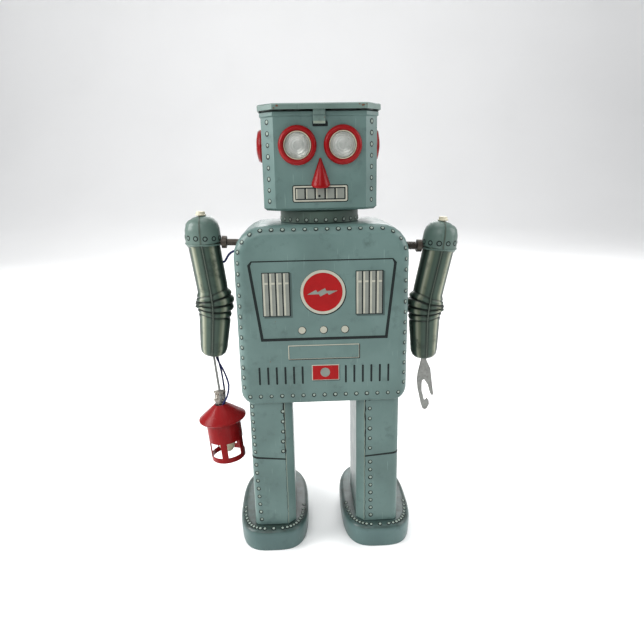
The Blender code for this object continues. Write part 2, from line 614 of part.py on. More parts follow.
# Stations down the arm: distance out, height and radius
ARM = ((53.9, 11.2, 1.8), (53.85, 10.8, 3.6), (53.7, 9.7, 5.6), (53.6, 8.1, 6.9), (53.4, 5.6, 7.6),
       (53.2, 3.0, 7.75), (52.95, -0.4, 7.75), (52.75, -1.6, 6.95), (49.5, -21.5, 6.9), (49.0, -24.2, 8.1),
       (48.6, -26.6, 8.7), (48.5, -29.0, 8.6), (48.6, -31.8, 7.7), (48.7, -34.5, 7.2), (49.6, -49.0, 6.3),
       (49.85, -51.2, 5.7), (49.95, -52.4, 4.6), (50.0, -53.0, 3.0))


def arm_half(side, outward):
    """Half of the arm's skin, split along its front and back, outward or towards the body."""
    front, back = [], []
    for i, (x, z, radius) in enumerate(ARM):
        x1, z1, _ = ARM[min(i + 1, len(ARM) - 1)]
        x0, z0, _ = ARM[max(i - 1, 0)]
        length = math.hypot(x1 - x0, z1 - z0)
        nx, nz = -(z1 - z0) / length, (x1 - x0) / length
        for grid, r in ((front, radius), (back, radius - ARM_WALL)):
            margin = math.asin(min(GAP / 2 / r, 0.5))
            row = []
            for k in range(ARM_SIDES + 1):
                a = -math.pi / 2 + margin + (math.pi - 2 * margin) * k / ARM_SIDES
                out = r * math.cos(a) * outward
                row.append(from_shoulder((side * (x + nx * out), r * math.sin(a), z + nz * out)))
            grid.append(row)
    return sheet(front, back)


def build_arm(name, side):
    pivot = from_shoulder((side * 44, 0, 0))
    solid("arm_outer_" + name, arm_half(side, 1), ARM_GREEN, pivot)
    inner = solid("arm_inner_" + name, arm_half(side, -1), ARM_GREEN, pivot)
    reach = sorted((side * 42, side * 49))
    cut(inner, mapped(rod(1.9, *reach, "x", (0, 0), 12), from_shoulder),
        mapped(rod(1.2, *reach, "x", (0, -9), 10), from_shoulder))
    tab = [(1.2, 7.5), (1.2, 11.4), (2.4, 11.5), (2.4, 12.0), (2.0, 12.1), (1.9, 13.2)]
    solid("arm_top_tab_" + name, mapped(turned(tab, "z", (side * 53.9, 0), 12), from_shoulder), CREAM, pivot)
    build_shoulder(name, side, pivot)


def build_shoulder(name, side, pivot):
    """The shaft and collar outside the body and the drive lever inside it."""
    waist = 1.5 if side < 0 else 1.1
    shaft = [(1.5, 17.2), (1.5, 37.6), (waist, 37.8), (waist, 42.6), (2.8, 42.7), (2.8, 44.8),
             (1.5, 44.9), (1.5, 50)]
    axle = solid("shoulder_axle_" + name, mapped(
        turned([(r, side * x) for r, x in shaft], "x", (0, 0), 14), from_shoulder), DARK_STEEL, pivot)
    strip = arc(0, 0, 3.4, 0, 180, 8) + [(SHAFT_Y - 2.6, -25.6), (SHAFT_Y + 2.6, -25.6)]
    span = sorted((side * 24.0, side * 24.8))
    add(axle, mapped(prism(strip, *span, "x"), from_shoulder))
    slot = box(*sorted((side * 23, side * 26)), SHAFT_Y - 1.4, SHAFT_Y + 1.4, -24.1, -18.2)
    cut(axle, mapped(slot, from_shoulder))
    if side > 0:
        coil = []
        for i in range(6 * 10 + 1):
            a = 2 * math.pi * i / 10
            coil.append((38.2 + 4.0 * i / (6 * 10), 1.65 * math.cos(a), 1.65 * math.sin(a)))
        solid("shoulder_spring_left", mapped(sweep(coil, 0.24, 5), from_shoulder), DARK_STEEL, pivot)


# Claw outline from the wrist, x towards the short finger
CLAW = ((-1.2, 3.0), (-1.2, -0.9), (-2.5, -8.5), (-2.6, -12.0), (-1.9, -16.4), (0.3, -24.5), (1.2, -26.7),
        (2.2, -27.3), (3.3, -26.7), (4.3, -24.4), (4.0, -22.5), (3.0, -21.2), (2.4, -22.1), (1.7, -22.3),
        (0.1, -17.1), (-0.1, -13.5), (0.1, -11.9), (0.9, -11.5), (3.0, -14.4), (4.4, -18.7), (5.4, -20.0),
        (6.0, -19.0), (5.0, -13.9), (3.6, -6.0), (1.3, -1.5), (1.2, 3.0))


def wrist(side):
    if side < 0:
        return (RIGHT_HAND_SHIFT - WRIST_X, 0, WRIST_Z + RIGHT_HAND_LIFT)
    return (WRIST_X, 0, WRIST_Z)


def claw_point(u, v, w, side):
    """Claw outline u, v and thickness w to robot coordinates."""
    turn, lean = (RIGHT_HAND_TURN, RIGHT_HAND_LEAN) if side < 0 else (0, 0)
    out = u * math.cos(turn) + w * math.sin(turn)
    x0, y0, z0 = wrist(side)
    return from_shoulder((x0 + out * math.cos(lean) - v * math.sin(lean),
                          y0 - u * math.sin(turn) + w * math.cos(turn),
                          z0 + out * math.sin(lean) + v * math.cos(lean)))


def build_hand(name, side):
    rings = [[claw_point(u, v, w, side) for u, v in CLAW] for w in (-0.5, 0.5)]
    solid("hand_" + name, loft(rings), STEEL, from_shoulder(wrist(side)))


# --------------------------------------------------------------------- lantern

def hook_point():
    return claw_point(HOOK[0], HOOK[1], 0, -1)


def in_lantern(point):
    """Lantern coordinates (top of the roof at the origin) to robot coordinates."""
    c, s = math.cos(LANTERN_TILT), math.sin(LANTERN_TILT)
    x, y, z = point
    hx, hy, _ = hook_point()
    return (hx + x * c - z * s, hy + y, LANTERN_TOP_Z + x * s + z * c)


def build_lantern():
    pivot = hook_point()
    roof = [(2.7, 0), (3.2, -0.1), (11.1, -6.2), (11.2, -6.9), (10.7, -7.5), (10.3, -7.2),
            (10.5, -6.6), (2.7, -0.7)]
    solid("lantern_roof", mapped(turned(roof, "z", (0, 0), 30, wrap=True), in_lantern), RED, pivot)
    wall = [(8.2, -5.9), (8.2, -27.5), (7.9, -27.8), (7.6, -27.5), (7.6, -5.9)]
    cage = solid("lantern_cage", mapped(turned(wall, "z", (0, 0), 32, wrap=True), in_lantern), RED, pivot)
    windows = []
    for k in range(5):
        a0, a1 = (math.radians(72 * k - 90 + 34 + d) for d in (-25, 25))
        corner = [(5 * math.cos(a0), 5 * math.sin(a0)), (11 * math.cos(a0), 11 * math.sin(a0)),
                  (11 * math.cos(a1), 11 * math.sin(a1)), (5 * math.cos(a1), 5 * math.sin(a1))]
        windows.append(mapped(prism(corner, -25.2, -17.7), in_lantern))
    cut(cage, *windows)
    bulb = [(2.6, -6.5), (2.6, -15.0), (3.4, -16.2), (4.1, -19.5), (3.9, -22.0), (2.8, -24.2), (1.0, -25.0)]
    solid("lantern_bulb", mapped(turned(bulb, "z", (0, 0), 20), in_lantern), BULB, pivot)
    build_hanger(pivot)


def build_hanger(pivot):
    """A wire staple over the hook, its feet turned out under the roof."""
    top = pivot[2] - LANTERN_TOP_Z
    path = [(-4.0, -3.1), (-2.6, -3.0), (-2.0, -2.2), (-2.0, top - 2.4), (-1.8, top - 1.0)]
    path += [(-1.2, top - 0.2), (-0.6, top), (0.6, top), (1.2, top - 0.2)]
    path += [(1.8, top - 1.0), (2.0, top - 2.4), (2.0, -2.2), (2.6, -3.0), (4.0, -3.1)]
    wire = sweep([(x, 0, z) for x, z in path], 0.45, 8)
    solid("lantern_hanger", mapped(wire, lambda p: (pivot[0] + p[0], pivot[1] + p[1], LANTERN_TOP_Z + p[2])),
          STEEL, pivot)


# ----------------------------------------------------------------------- wires

def smooth_route(points, steps=3):
    """A Catmull-Rom curve through the route's own points."""
    p = [Vector(q) for q in points]
    p = [2 * p[0] - p[1]] + p + [2 * p[-1] - p[-2]]
    route = []
    for i in range(1, len(p) - 2):
        for k in range(steps):
            t = k / steps
            a = 2 * p[i]
            b = (p[i + 1] - p[i - 1]) * t
            c = (2 * p[i - 1] - 5 * p[i] + 4 * p[i + 1] - p[i + 2]) * t * t
            d = (3 * p[i] - p[i - 1] - 3 * p[i + 1] + p[i + 2]) * t ** 3
            route.append(tuple((a + b + c + d) / 2))
    route.append(tuple(p[-2]))
    return route


def build_wires():
    shoulder = [(-34.6, -4.0, 138.6), (-37.8, -4.0, 138.4), (-40.4, -3.0, 136.8), (-42.2, -1.0, 134.2),
                (-43.2, -0.2, 133.1), (-45.0, 0, 132.9), (-47.5, 0, 132.8)]
    solid("wire_shoulder", sweep(smooth_route(shoulder), SHOULDER_WIRE_R), BLUE)
    hx, hy, _ = hook_point()
    wx, _, _ = from_shoulder(wrist(-1))
    straight = [(wx + 1.9, 0.6, 96), (wx + 1.9, 0.6, 89), (hx + 1.1, 0.8, 80), (hx + 1.9, 0.3, 72),
                (hx + 1.9, -0.2, 67.5), (hx + 1.0, -0.9, 63)]
    solid("wire_lantern_a", sweep(smooth_route(straight), WIRE_R), BLUE)
    bowed = [(wx + 1.85, -0.8, 96), (wx + 1.85, -0.8, 89), (wx + 2.1, -0.9, 87), (hx + 2.9, -2.2, 81),
             (hx + 4.7, -3.6, 75), (hx + 3.6, -4.4, 69.5), (hx + 1.6, -3.7, 65.8), (hx + 1.0, -3.3, 63)]
    solid("wire_lantern_b", sweep(smooth_route(bowed), WIRE_R), BLUE)


# -------------------------------------------------------------------- assembly

def centre_over_base():
    """Puts the origin at the middle of the robot's box, on the floor."""
    bpy.context.view_layer.update()
    low, high = Vector((1, 1, 1)), Vector((-1, -1, -1))
    shown = [o for o in bpy.context.scene.objects if not o.hide_render]
    for obj in shown:
        for corner in obj.bound_box:
            p = obj.matrix_world @ Vector(corner)
            low = Vector(map(min, low, p))
            high = Vector(map(max, high, p))
    root = bpy.data.objects.new("robot_root", None)
    bpy.context.scene.collection.objects.link(root)
    for obj in list(bpy.context.scene.objects):
        if obj is not root:
            obj.parent = root
    root.location = Vector((-(low.x + high.x) / 2, -(low.y + high.y) / 2, -low.z))


def main():
    for obj in list(bpy.data.objects):
        bpy.data.objects.remove(obj, do_unlink=True)
    build_head()
    build_face()
    build_head_lamp()
    build_lid()
    build_neck()
    build_torso()
    build_lamp_supply()
    build_winder()
    build_train()
    build_frame()
    for name, side in both_sides():
        build_leg(name, side)
        build_arm(name, side)
        build_hand(name, side)
    build_lantern()
    build_wires()
    centre_over_base()


main()
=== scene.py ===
import json
import math
import random
import bpy
import bmesh
from mathutils import Matrix, Vector
from mathutils.bvhtree import BVHTree


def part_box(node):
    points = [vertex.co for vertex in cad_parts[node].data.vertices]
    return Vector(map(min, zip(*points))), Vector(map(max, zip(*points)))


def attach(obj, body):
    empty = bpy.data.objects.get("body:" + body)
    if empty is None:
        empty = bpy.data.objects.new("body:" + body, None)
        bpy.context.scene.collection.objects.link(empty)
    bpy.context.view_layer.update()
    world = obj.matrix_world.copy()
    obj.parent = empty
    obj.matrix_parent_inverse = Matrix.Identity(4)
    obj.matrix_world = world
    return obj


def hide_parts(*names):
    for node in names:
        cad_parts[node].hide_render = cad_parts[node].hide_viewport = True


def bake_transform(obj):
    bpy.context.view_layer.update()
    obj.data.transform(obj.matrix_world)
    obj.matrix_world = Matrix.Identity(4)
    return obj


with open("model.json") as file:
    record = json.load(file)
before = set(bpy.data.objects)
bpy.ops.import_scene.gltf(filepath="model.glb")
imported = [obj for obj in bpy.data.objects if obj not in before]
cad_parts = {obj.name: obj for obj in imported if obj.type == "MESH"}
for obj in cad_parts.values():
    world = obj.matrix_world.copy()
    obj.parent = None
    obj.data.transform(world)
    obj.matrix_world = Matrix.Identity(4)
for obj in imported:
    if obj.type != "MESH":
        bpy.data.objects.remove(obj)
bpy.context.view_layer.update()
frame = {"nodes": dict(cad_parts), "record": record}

MM = 0.001
SEED = 7
FRONT = 23.0                       # the torso's front face, forward of the arm line
low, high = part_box("torso_front_shell")
X0, Y0 = (low.x + high.x) / 2, low.y + FRONT * MM
BODY = {n: b for b, ns in frame["record"]["behaviour"]["bodies"].items() for n in ns}
SLOT = {s["node"]: s["material_slot"] for s in frame["record"]["subparts"]}
LIFT = 0.05                        # how far print stands off the tin
SIDES = (("right", -1), ("left", 1))

MERGE = 0.000002                   # metres: vertices nearer than this are one
HEAD_FRONT = -20.0                 # y of the head's front face
FACE_FRONT = -20.3                 # y that the eyes and nose stand on
LATCH_FRONT, LID_FRONT = -21.6, -22.5
LEG_FRONT = -21.2
EYE_X, EYE_Z = 9.0, 181.5
TORSO_HALF, TORSO_TOP, TORSO_ROUND = 36.7, 150.5, 13
TORSO_FACE = 23.2                  # how far out the torso's rows of studs start, front and back
FOOT_X, FOOT_Y = 25.0, 4.0         # the middle of a foot
FOOT_HALF_X, FOOT_HALF_Y = 16.7, 30.0
FOOT_TOE, FOOT_HEEL = 2 / 3.3, 2 / 2.6     # how square the foot's outline is, in front and behind
FOOT_SIDES = 112
SHOULDER_X, SHOULDER_Z = 1.2, 140.05
ARM_TILT = math.radians(2.4)
ARM_SIDES = 36
ELBOW_Z = -28.3                    # the middle of the elbow's gathers, down from the shoulder
CAP_FROM = -1.0                    # the arm's cap starts here
STUD_SIDES = 14


def at(x, y, z):
    """Robot coordinates in millimetres to the shared frame."""
    return Vector((X0 + x * MM, Y0 + y * MM, z * MM))


# ------------------------------------------------------------------- materials

def new_material(name, rough, metal=0.0, **fixed):
    mat = bpy.data.materials.new(name)
    mat.use_nodes = True
    shader = mat.node_tree.nodes["Principled BSDF"]
    shader.inputs["Roughness"].default_value = rough
    shader.inputs["Metallic"].default_value = metal
    for key, value in fixed.items():
        shader.inputs[key.replace("_", " ")].default_value = value
    return mat, mat.node_tree, shader


def noise(tree, scale, detail=3.0, stretch=(1, 1, 1), rough=0.5):
    where = tree.nodes.new("ShaderNodeTexCoord")
    mapping = tree.nodes.new("ShaderNodeMapping")
    mapping.inputs["Scale"].default_value = stretch
    tex = tree.nodes.new("ShaderNodeTexNoise")
    tex.inputs["Scale"].default_value = scale
    tex.inputs["Detail"].default_value = detail
    tex.inputs["Roughness"].default_value = rough
    tree.links.new(where.outputs["Object"], mapping.inputs["Vector"])
    tree.links.new(mapping.outputs["Vector"], tex.inputs["Vector"])
    return tex.outputs["Fac"]


def ramp(tree, value, stops):
    node = tree.nodes.new("ShaderNodeValToRGB")
    elements = node.color_ramp.elements
    while len(elements) < len(stops):
        elements.new(0.5)
    for element, (place, colour) in zip(elements, stops):
        element.position = place
        element.color = tuple(colour) + (1,) if len(colour) == 3 else colour
    tree.links.new(value, node.inputs["Fac"])
    return node.outputs["Color"]


def mask(tree, value, start, end):
    return ramp(tree, value, ((start, (0, 0, 0)), (end, (1, 1, 1))))


def mix(tree, factor, a, b):
    node = tree.nodes.new("ShaderNodeMix")
    node.data_type = "RGBA"
    for socket, value in ((node.inputs[0], factor), (node.inputs[6], a), (node.inputs[7], b)):
        if isinstance(value, (int, float)):
            socket.default_value = value
        elif isinstance(value, (tuple, list)):
            socket.default_value = tuple(value) + (1,)
        else:
            tree.links.new(value, socket)
    return node.outputs[2]


def bump(tree, shader, parts):
    """Stacked bumps: each part is (height, strength, depth in metres)."""
    normal = None
    for height, strength, depth in parts:
        node = tree.nodes.new("ShaderNodeBump")
        node.inputs["Strength"].default_value = strength
        node.inputs["Distance"].default_value = depth
        tree.links.new(height, node.inputs["Height"])
        if normal is not None:
            tree.links.new(normal, node.inputs["Normal"])
        normal = node.outputs["Normal"]
    tree.links.new(normal, shader.inputs["Normal"])


def spread(tree, shader, value, a, b):
    node = tree.nodes.new("ShaderNodeMapRange")
    node.inputs["To Min"].default_value = a
    node.inputs["To Max"].default_value = b
    tree.links.new(value, node.inputs["Value"])
    tree.links.new(node.outputs["Result"], shader.inputs["Roughness"])


def tin_paint(name, base, rough=0.34, rust=0.72, worn=0.70, coat=0.12, shine=0.3):
    """Printed, lacquered tin: mottled colour, dirt, fine scratches and rust pips."""
    mat, tree, shader = new_material(name, rough, 0.0, Coat_Weight=coat, Coat_Roughness=0.18,
                                     Specular_IOR_Level=shine)
    dark = tuple(c * 0.78 for c in base)
    pale = tuple(min(c * 1.18 + 0.01, 1) for c in base)
    colour = ramp(tree, noise(tree, 38, 4), ((0.28, dark), (0.5, base), (0.74, pale)))
    grime_and_shade = mask(tree, noise(tree, 160, 5, rough=0.7), 0.56, 0.78)
    colour = mix(tree, grime_and_shade, colour, tuple(c * 0.66 for c in base))
    scratch = mask(tree, noise(tree, 1, 2, (2600, 2600, 90)), worn, worn + 0.06)
    colour = mix(tree, scratch, colour, tuple(min(c * 1.3 + 0.03, 1) for c in base))
    pip = mask(tree, noise(tree, 430, 4, rough=0.65), rust, rust + 0.05)
    colour = mix(tree, pip, colour, (0.11, 0.055, 0.03))
    tree.links.new(colour, shader.inputs["Base Color"])
    spread(tree, shader, noise(tree, 210, 3), rough - 0.08, rough + 0.16)
    bump(tree, shader, ((noise(tree, 70, 2), 0.25, 0.0006), (noise(tree, 1400, 2), 0.12, 0.00005),
                        (pip, 0.4, 0.00008)))
    return mat


def metal_finish(name, base, rough, stretch=(1, 1, 1), tarnish=(0.10, 0.08, 0.06), amount=0.62):
    mat, tree, shader = new_material(name, rough, 1.0)
    grain = noise(tree, 900, 3, stretch)
    colour = ramp(tree, grain, ((0.3, tuple(c * 0.75 for c in base)), (0.7, base)))
    colour = mix(tree, mask(tree, noise(tree, 260, 5, rough=0.7), amount, amount + 0.14),
                 colour, tarnish)
    tree.links.new(colour, shader.inputs["Base Color"])
    spread(tree, shader, noise(tree, 420, 3), rough - 0.08, rough + 0.18)
    bump(tree, shader, ((grain, 0.18, 0.00006), (noise(tree, 190, 3), 0.2, 0.0002)))
    return mat


def ink(name, base, rough=0.4):
    """Printed ink, slightly uneven and rubbed through in places."""
    mat, tree, shader = new_material(name, rough, 0.0, Specular_IOR_Level=0.18)
    colour = ramp(tree, noise(tree, 300, 4), ((0.3, tuple(c * 0.86 for c in base)), (0.7, base)))
    rub = mask(tree, noise(tree, 700, 4, rough=0.7), 0.70, 0.78)
    colour = mix(tree, rub, colour, tuple(0.55 * c + 0.06 for c in base))
    tree.links.new(colour, shader.inputs["Base Color"])
    spread(tree, shader, noise(tree, 350, 2), rough - 0.06, rough + 0.12)
    bump(tree, shader, ((noise(tree, 1500, 2), 0.08, 0.00004),))
    return mat


def arm_paint():
    """Long light and dark stripes down the arm, from the piece's own unwrap."""
    mat, tree, shader = new_material("arm_stripes", 0.3, 0.0, Coat_Weight=0.06, Coat_Roughness=0.15,
                                     Specular_IOR_Level=0.16)
    where = tree.nodes.new("ShaderNodeUVMap")
    where.uv_map = "UVMap"
    split = tree.nodes.new("ShaderNodeSeparateXYZ")
    tree.links.new(where.outputs["UV"], split.inputs["Vector"])
    dark, green = (0.012, 0.019, 0.015), (0.050, 0.078, 0.060)
    olive, pale = (0.150, 0.170, 0.118), (0.330, 0.345, 0.265)
    stops = ((0.0, dark), (0.06, green), (0.12, green), (0.17, olive), (0.22, pale), (0.27, green),
             (0.36, dark), (0.42, green), (0.50, olive), (0.56, green), (0.64, dark), (0.70, green),
             (0.77, pale), (0.82, olive), (0.88, green), (0.94, green), (1.0, dark))
    colour = ramp(tree, split.outputs["X"], stops)
    # Painted shade: the folds of the elbow's gathers are darkened by how deep they are.
    fold = tree.nodes.new("ShaderNodeAttribute")
    fold.attribute_name = "painted_crease_shade"
    colour = mix(tree, mask(tree, fold.outputs["Fac"], 0.12, 0.62), colour, (0.010, 0.015, 0.012))
    grime_and_shade = mask(tree, noise(tree, 150, 5, rough=0.7), 0.52, 0.76)
    colour = mix(tree, grime_and_shade, colour, (0.030, 0.042, 0.034))
    pip = mask(tree, noise(tree, 430, 4, rough=0.65), 0.73, 0.78)
    colour = mix(tree, pip, colour, (0.10, 0.05, 0.03))
    tree.links.new(colour, shader.inputs["Base Color"])
    spread(tree, shader, noise(tree, 210, 3), 0.24, 0.46)
    bump(tree, shader, ((noise(tree, 80, 2), 0.25, 0.0005), (noise(tree, 1400, 2), 0.1, 0.00005)))
    return mat


def clear_lens():
    mat, tree, shader = new_material("lens_plastic", 0.08, 0.0, Transmission_Weight=0.6, IOR=1.42)
    colour = ramp(tree, noise(tree, 240, 3), ((0.3, (0.44, 0.47, 0.44)), (0.7, (0.66, 0.68, 0.64))))
    tree.links.new(colour, shader.inputs["Base Color"])
    spread(tree, shader, noise(tree, 500, 3), 0.05, 0.16)
    bump(tree, shader, ((noise(tree, 900, 2), 0.1, 0.00004),))
    return mat


def bulb_glass():
    mat, tree, shader = new_material("bulb_glass", 0.12, 0.0, Coat_Weight=0.6, Coat_Roughness=0.05,
                                     Transmission_Weight=0.25, IOR=1.45)
    colour = ramp(tree, noise(tree, 160, 3), ((0.3, (0.66, 0.62, 0.42)), (0.7, (0.84, 0.82, 0.64))))
    tree.links.new(colour, shader.inputs["Base Color"])
    spread(tree, shader, noise(tree, 400, 2), 0.08, 0.2)
    return mat


def foot_paint():
    """The leg's print, darkened for the feet and darker again in patches over the foot's top: both are
    painted shade.
    """
    mat = tin_paint("foot_print_and_shade", (0.070, 0.125, 0.120))
    tree, shader = mat.node_tree, mat.node_tree.nodes["Principled BSDF"]
    clean = shader.inputs["Base Color"].links[0].from_socket
    # The colour attribute read here is painted shade, most over the foot's top, broken into patches by
    # the noise below.
    edge = tree.nodes.new("ShaderNodeAttribute")
    edge.attribute_name = "grime_and_shade"
    patch = ramp(tree, noise(tree, 120, 4, rough=0.65), ((0.30, (0.35, 0.35, 0.35)), (0.62, (1, 1, 1))))
    amount = mix(tree, patch, (0, 0, 0), edge.outputs["Color"])
    tree.links.new(mix(tree, amount, clean, (0.020, 0.034, 0.028)), shader.inputs["Base Color"])
    return mat


TEAL = tin_paint("teal_print", (0.090, 0.150, 0.138))
COLLAR = tin_paint("collar_print", (0.055, 0.088, 0.070), rough=0.4)
FOOT = foot_paint()
LID = tin_paint("lid_print", (0.105, 0.160, 0.142), rust=0.66, worn=0.66)
EDGE = tin_paint("seam_edge", (0.20, 0.24, 0.19), rough=0.42, rust=0.64)
ARM = arm_paint()
SEAM = tin_paint("arm_seam", (0.060, 0.080, 0.062), rough=0.4, rust=0.68)
CAP = tin_paint("arm_cap_print", (0.090, 0.140, 0.120))
RED = tin_paint("red_enamel", (0.195, 0.003, 0.004), rough=0.20, rust=0.78, worn=0.90,
               coat=0.0, shine=0.12)
INK_DARK = ink("ink_dark", (0.008, 0.013, 0.013), 0.5)
INK_PALE = ink("ink_pale", (0.40, 0.40, 0.33))
STUD = ink("stud", (0.25, 0.31, 0.27))
INK_GREY = ink("ink_grey", (0.20, 0.215, 0.19))
INK_RED = ink("ink_red", (0.30, 0.003, 0.004), 0.5)
INK_SHADE = ink("ink_shade", (0.055, 0.085, 0.080))
BARE = metal_finish("bare_tinplate", (0.27, 0.275, 0.26), 0.46)
PLATED = metal_finish("plated_steel", (0.58, 0.58, 0.56), 0.3)
FOIL = metal_finish("crumpled_foil", (0.38, 0.36, 0.32), 0.40, tarnish=(0.16, 0.13, 0.09), amount=0.56)
DARK = metal_finish("dark_steel", (0.085, 0.075, 0.065), 0.42, (1, 1, 4))
BRASS = metal_finish("brass_sheet", (0.68, 0.48, 0.20), 0.3)
REFLECTOR = metal_finish("reflector", (0.78, 0.78, 0.76), 0.14, amount=0.8)
CREAM = tin_paint("cream_lacquer_and_glint", (0.62, 0.58, 0.44), rough=0.42)
WIRE = ink("blue_insulation", (0.012, 0.018, 0.085), 0.35)
SLEEVE = ink("cell_sleeve", (0.24, 0.045, 0.040), 0.35)
RUST = ink("rust", (0.12, 0.055, 0.030), 0.75)
LENS = clear_lens()
BULB = bulb_glass()

SLOT_LOOK = {"teal_tin": TEAL, "arm_tin": ARM, "red_paint": RED, "lens_clear": LENS, "bulb_glass": BULB,
             "bare_steel": BARE, "plated_steel": PLATED, "dark_steel": DARK, "brass": BRASS,
             "cream_tin": CREAM, "wire_blue": WIRE, "cell_sleeve": SLEEVE}


# --------------------------------------------------------------------- pieces

def piece(name, mesh, look, body, replaced=(), sharp=40):
    obj = bpy.data.objects.new(name, mesh)
    bpy.context.scene.collection.objects.link(obj)
    for mat in look if isinstance(look, (list, tuple)) else [look]:
        mesh.materials.append(mat)
    if sharp:
        for face in mesh.polygons:
            face.use_smooth = True
        mesh.set_sharp_from_angle(angle=math.radians(sharp))
    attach(obj, body)
    if replaced:
        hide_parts(*replaced)
    return obj


def own_mesh(node):
    """A copy of a node's mesh without materials, and the same as a bmesh with its seams merged."""
    mesh = frame["nodes"][node].data.copy()
    mesh.materials.clear()
    bm = bmesh.new()
    bm.from_mesh(mesh)
    bmesh.ops.remove_doubles(bm, verts=bm.verts, dist=MERGE)
    return mesh, bm


def skin(node, look=None, bevel=0.14, sharp=40, segments=2):
    """A node's own shape with its seams merged and its edges softly rolled."""
    mesh, bm = own_mesh(node)
    bmesh.ops.dissolve_limit(bm, angle_limit=math.radians(0.6), verts=bm.verts, edges=bm.edges)
    edges = [e for e in bm.edges
             if len(e.link_faces) == 2 and e.calc_face_angle(0) > math.radians(sharp)]
    if bevel and edges:
        bmesh.ops.bevel(bm, geom=edges, offset=bevel * MM, offset_type="OFFSET", segments=segments,
                        profile=0.5, affect="EDGES", clamp_overlap=True, harden_normals=False)
    bm.normal_update()
    for face in bm.faces:
        face.material_index = 0
    bm.to_mesh(mesh)
    bm.free()
    obj = piece("skin_" + node, mesh, look or SLOT_LOOK[SLOT[node]],
                BODY[node], (node,), sharp)
    weighted = obj.modifiers.new("weighted", "WEIGHTED_NORMAL")
    weighted.keep_sharp = True
    return obj


def mesh_of(name, points, faces, indices=None):
    mesh = bpy.data.meshes.new(name)
    mesh.from_pydata([tuple(p) for p in points], [], faces)
    if indices:
        for face, index in zip(mesh.polygons, indices):
            face.material_index = index
    mesh.update()
    return mesh


def revolved(profile, centre, axis, count=72):
    """Points of a profile (radius, distance along axis) turned about it, as rows."""
    rows = []
    for radius, h in profile:
        row = []
        for k in range(count):
            a = 2 * math.pi * k / count
            u, v = radius * math.cos(a), radius * math.sin(a)
            row.append(at(*{"x": (h, centre[0] + u, centre[1] + v), 
                            "y": (centre[0] + u, h, centre[1] + v),
                            "z": (centre[0] + u, centre[1] + v, h)}[axis]))
        rows.append(row)
    return rows


def rows_mesh(name, rows, closed=False):
    """Rows of points joined into a ring-shaped tube, capped at both ends unless it closes on itself."""
    points = [p for row in rows for p in row]
    n = len(rows[0])
    faces = []
    last = len(rows) if closed else len(rows) - 1
    for i in range(last):
        j = (i + 1) % len(rows)
        for k in range(n):
            m = (k + 1) % n
            faces.append((i * n + k, i * n + m, j * n + m, j * n + k))
    if not closed:
        faces.append(tuple(reversed(range(n))))
        faces.append(tuple((len(rows) - 1) * n + k for k in range(n)))
    mesh = mesh_of(name, points, faces)
    bm = bmesh.new()
    bm.from_mesh(mesh)
    bmesh.ops.recalc_face_normals(bm, faces=bm.faces)
    bm.to_mesh(mesh)
    bm.free()
    return mesh


class Print:
    """Thin print on one body: flat shapes gathered into one mesh."""

    def __init__(self, name, body, slot, looks):
        self.name, self.body, self.slot, self.looks = name, body, slot, looks
        self.points, self.faces, self.indices = [], [], []

    def face(self, corners, look):
        start = len(self.points)
        self.points += corners
        self.faces.append(tuple(range(start, start + len(corners))))
        self.indices.append(self.looks.index(look))

    def done(self):
        mesh = mesh_of(self.name, self.points, self.faces, self.indices)
        return piece(self.name, mesh, self.looks, self.body, sharp=0)


def facing(y, layer=0):
    """Places (x, z) on a face that looks forward."""
    return lambda x, z: at(x, y - LIFT * (1 + layer), z)


def shape(sheet, place, outline, look):
    sheet.face([place(x, z) for x, z in outline], look)


def rounded(x0, x1, z0, z1, r, steps=4):
    points = []
    for cx, cz, start in ((x1 - r, z0 + r, -90), (x1 - r, z1 - r, 0),
                          (x0 + r, z1 - r, 90), (x0 + r, z0 + r, 180)):
        for k in range(steps + 1):
            a = math.radians(start + 90 * k / steps)
            points.append((cx + r * math.cos(a), cz + r * math.sin(a)))
    return points


def disc(cx, cz, r, count=40):
    return [(cx + r * math.cos(2 * math.pi * k / count), cz + r * math.sin(2 * math.pi * k / count))
            for k in range(count)]


def line(sheet, place, path, widths, look, closed=True):
    """A printed line with its own width at each point, drawn as joined quads."""
    n = len(path)
    left, right = [], []
    for i in range(n):
        before = Vector(path[i - 1] if closed or i else path[i])
        after = Vector(path[(i + 1) % n] if closed or i < n - 1 else path[i])
        here = Vector(path[i])
        a = (here - before).normalized() if (here - before).length else (after - here).normalized()
        b = (after - here).normalized() if (after - here).length else a
        side = Vector((-(a + b).y, (a + b).x)).normalized()
        half = widths[i] / 2 / max(side.dot(Vector((-a.y, a.x))), 0.4)
        left.append(here + side * half)
        right.append(here - side * half)
    for i in range(n if closed else n - 1):
        j = (i + 1) % n
        shape(sheet, place, [left[i], left[j], right[j], right[i]], look)


# ---------------------------------------------------------------------- rivets

def tree_of(*nodes):
    """The surface of nodes as the frame loads them."""
    points, faces = [], []
    for node in nodes:
        mesh = frame["nodes"][node].data
        start = len(points)
        points += [v.co.copy() for v in mesh.vertices]
        faces += [tuple(start + v for v in f.vertices) for f in mesh.polygons]
    return BVHTree.FromPolygons(points, faces)


def shown_tree(*names):
    """The same for pieces made here, where they ride."""
    points, faces = [], []
    for name in names:
        obj = bpy.data.objects[name]
        start = len(points)
        points += [obj.matrix_world @ v.co for v in obj.data.vertices]
        faces += [tuple(start + v for v in f.vertices) for f in obj.data.polygons]
    return BVHTree.FromPolygons(points, faces)


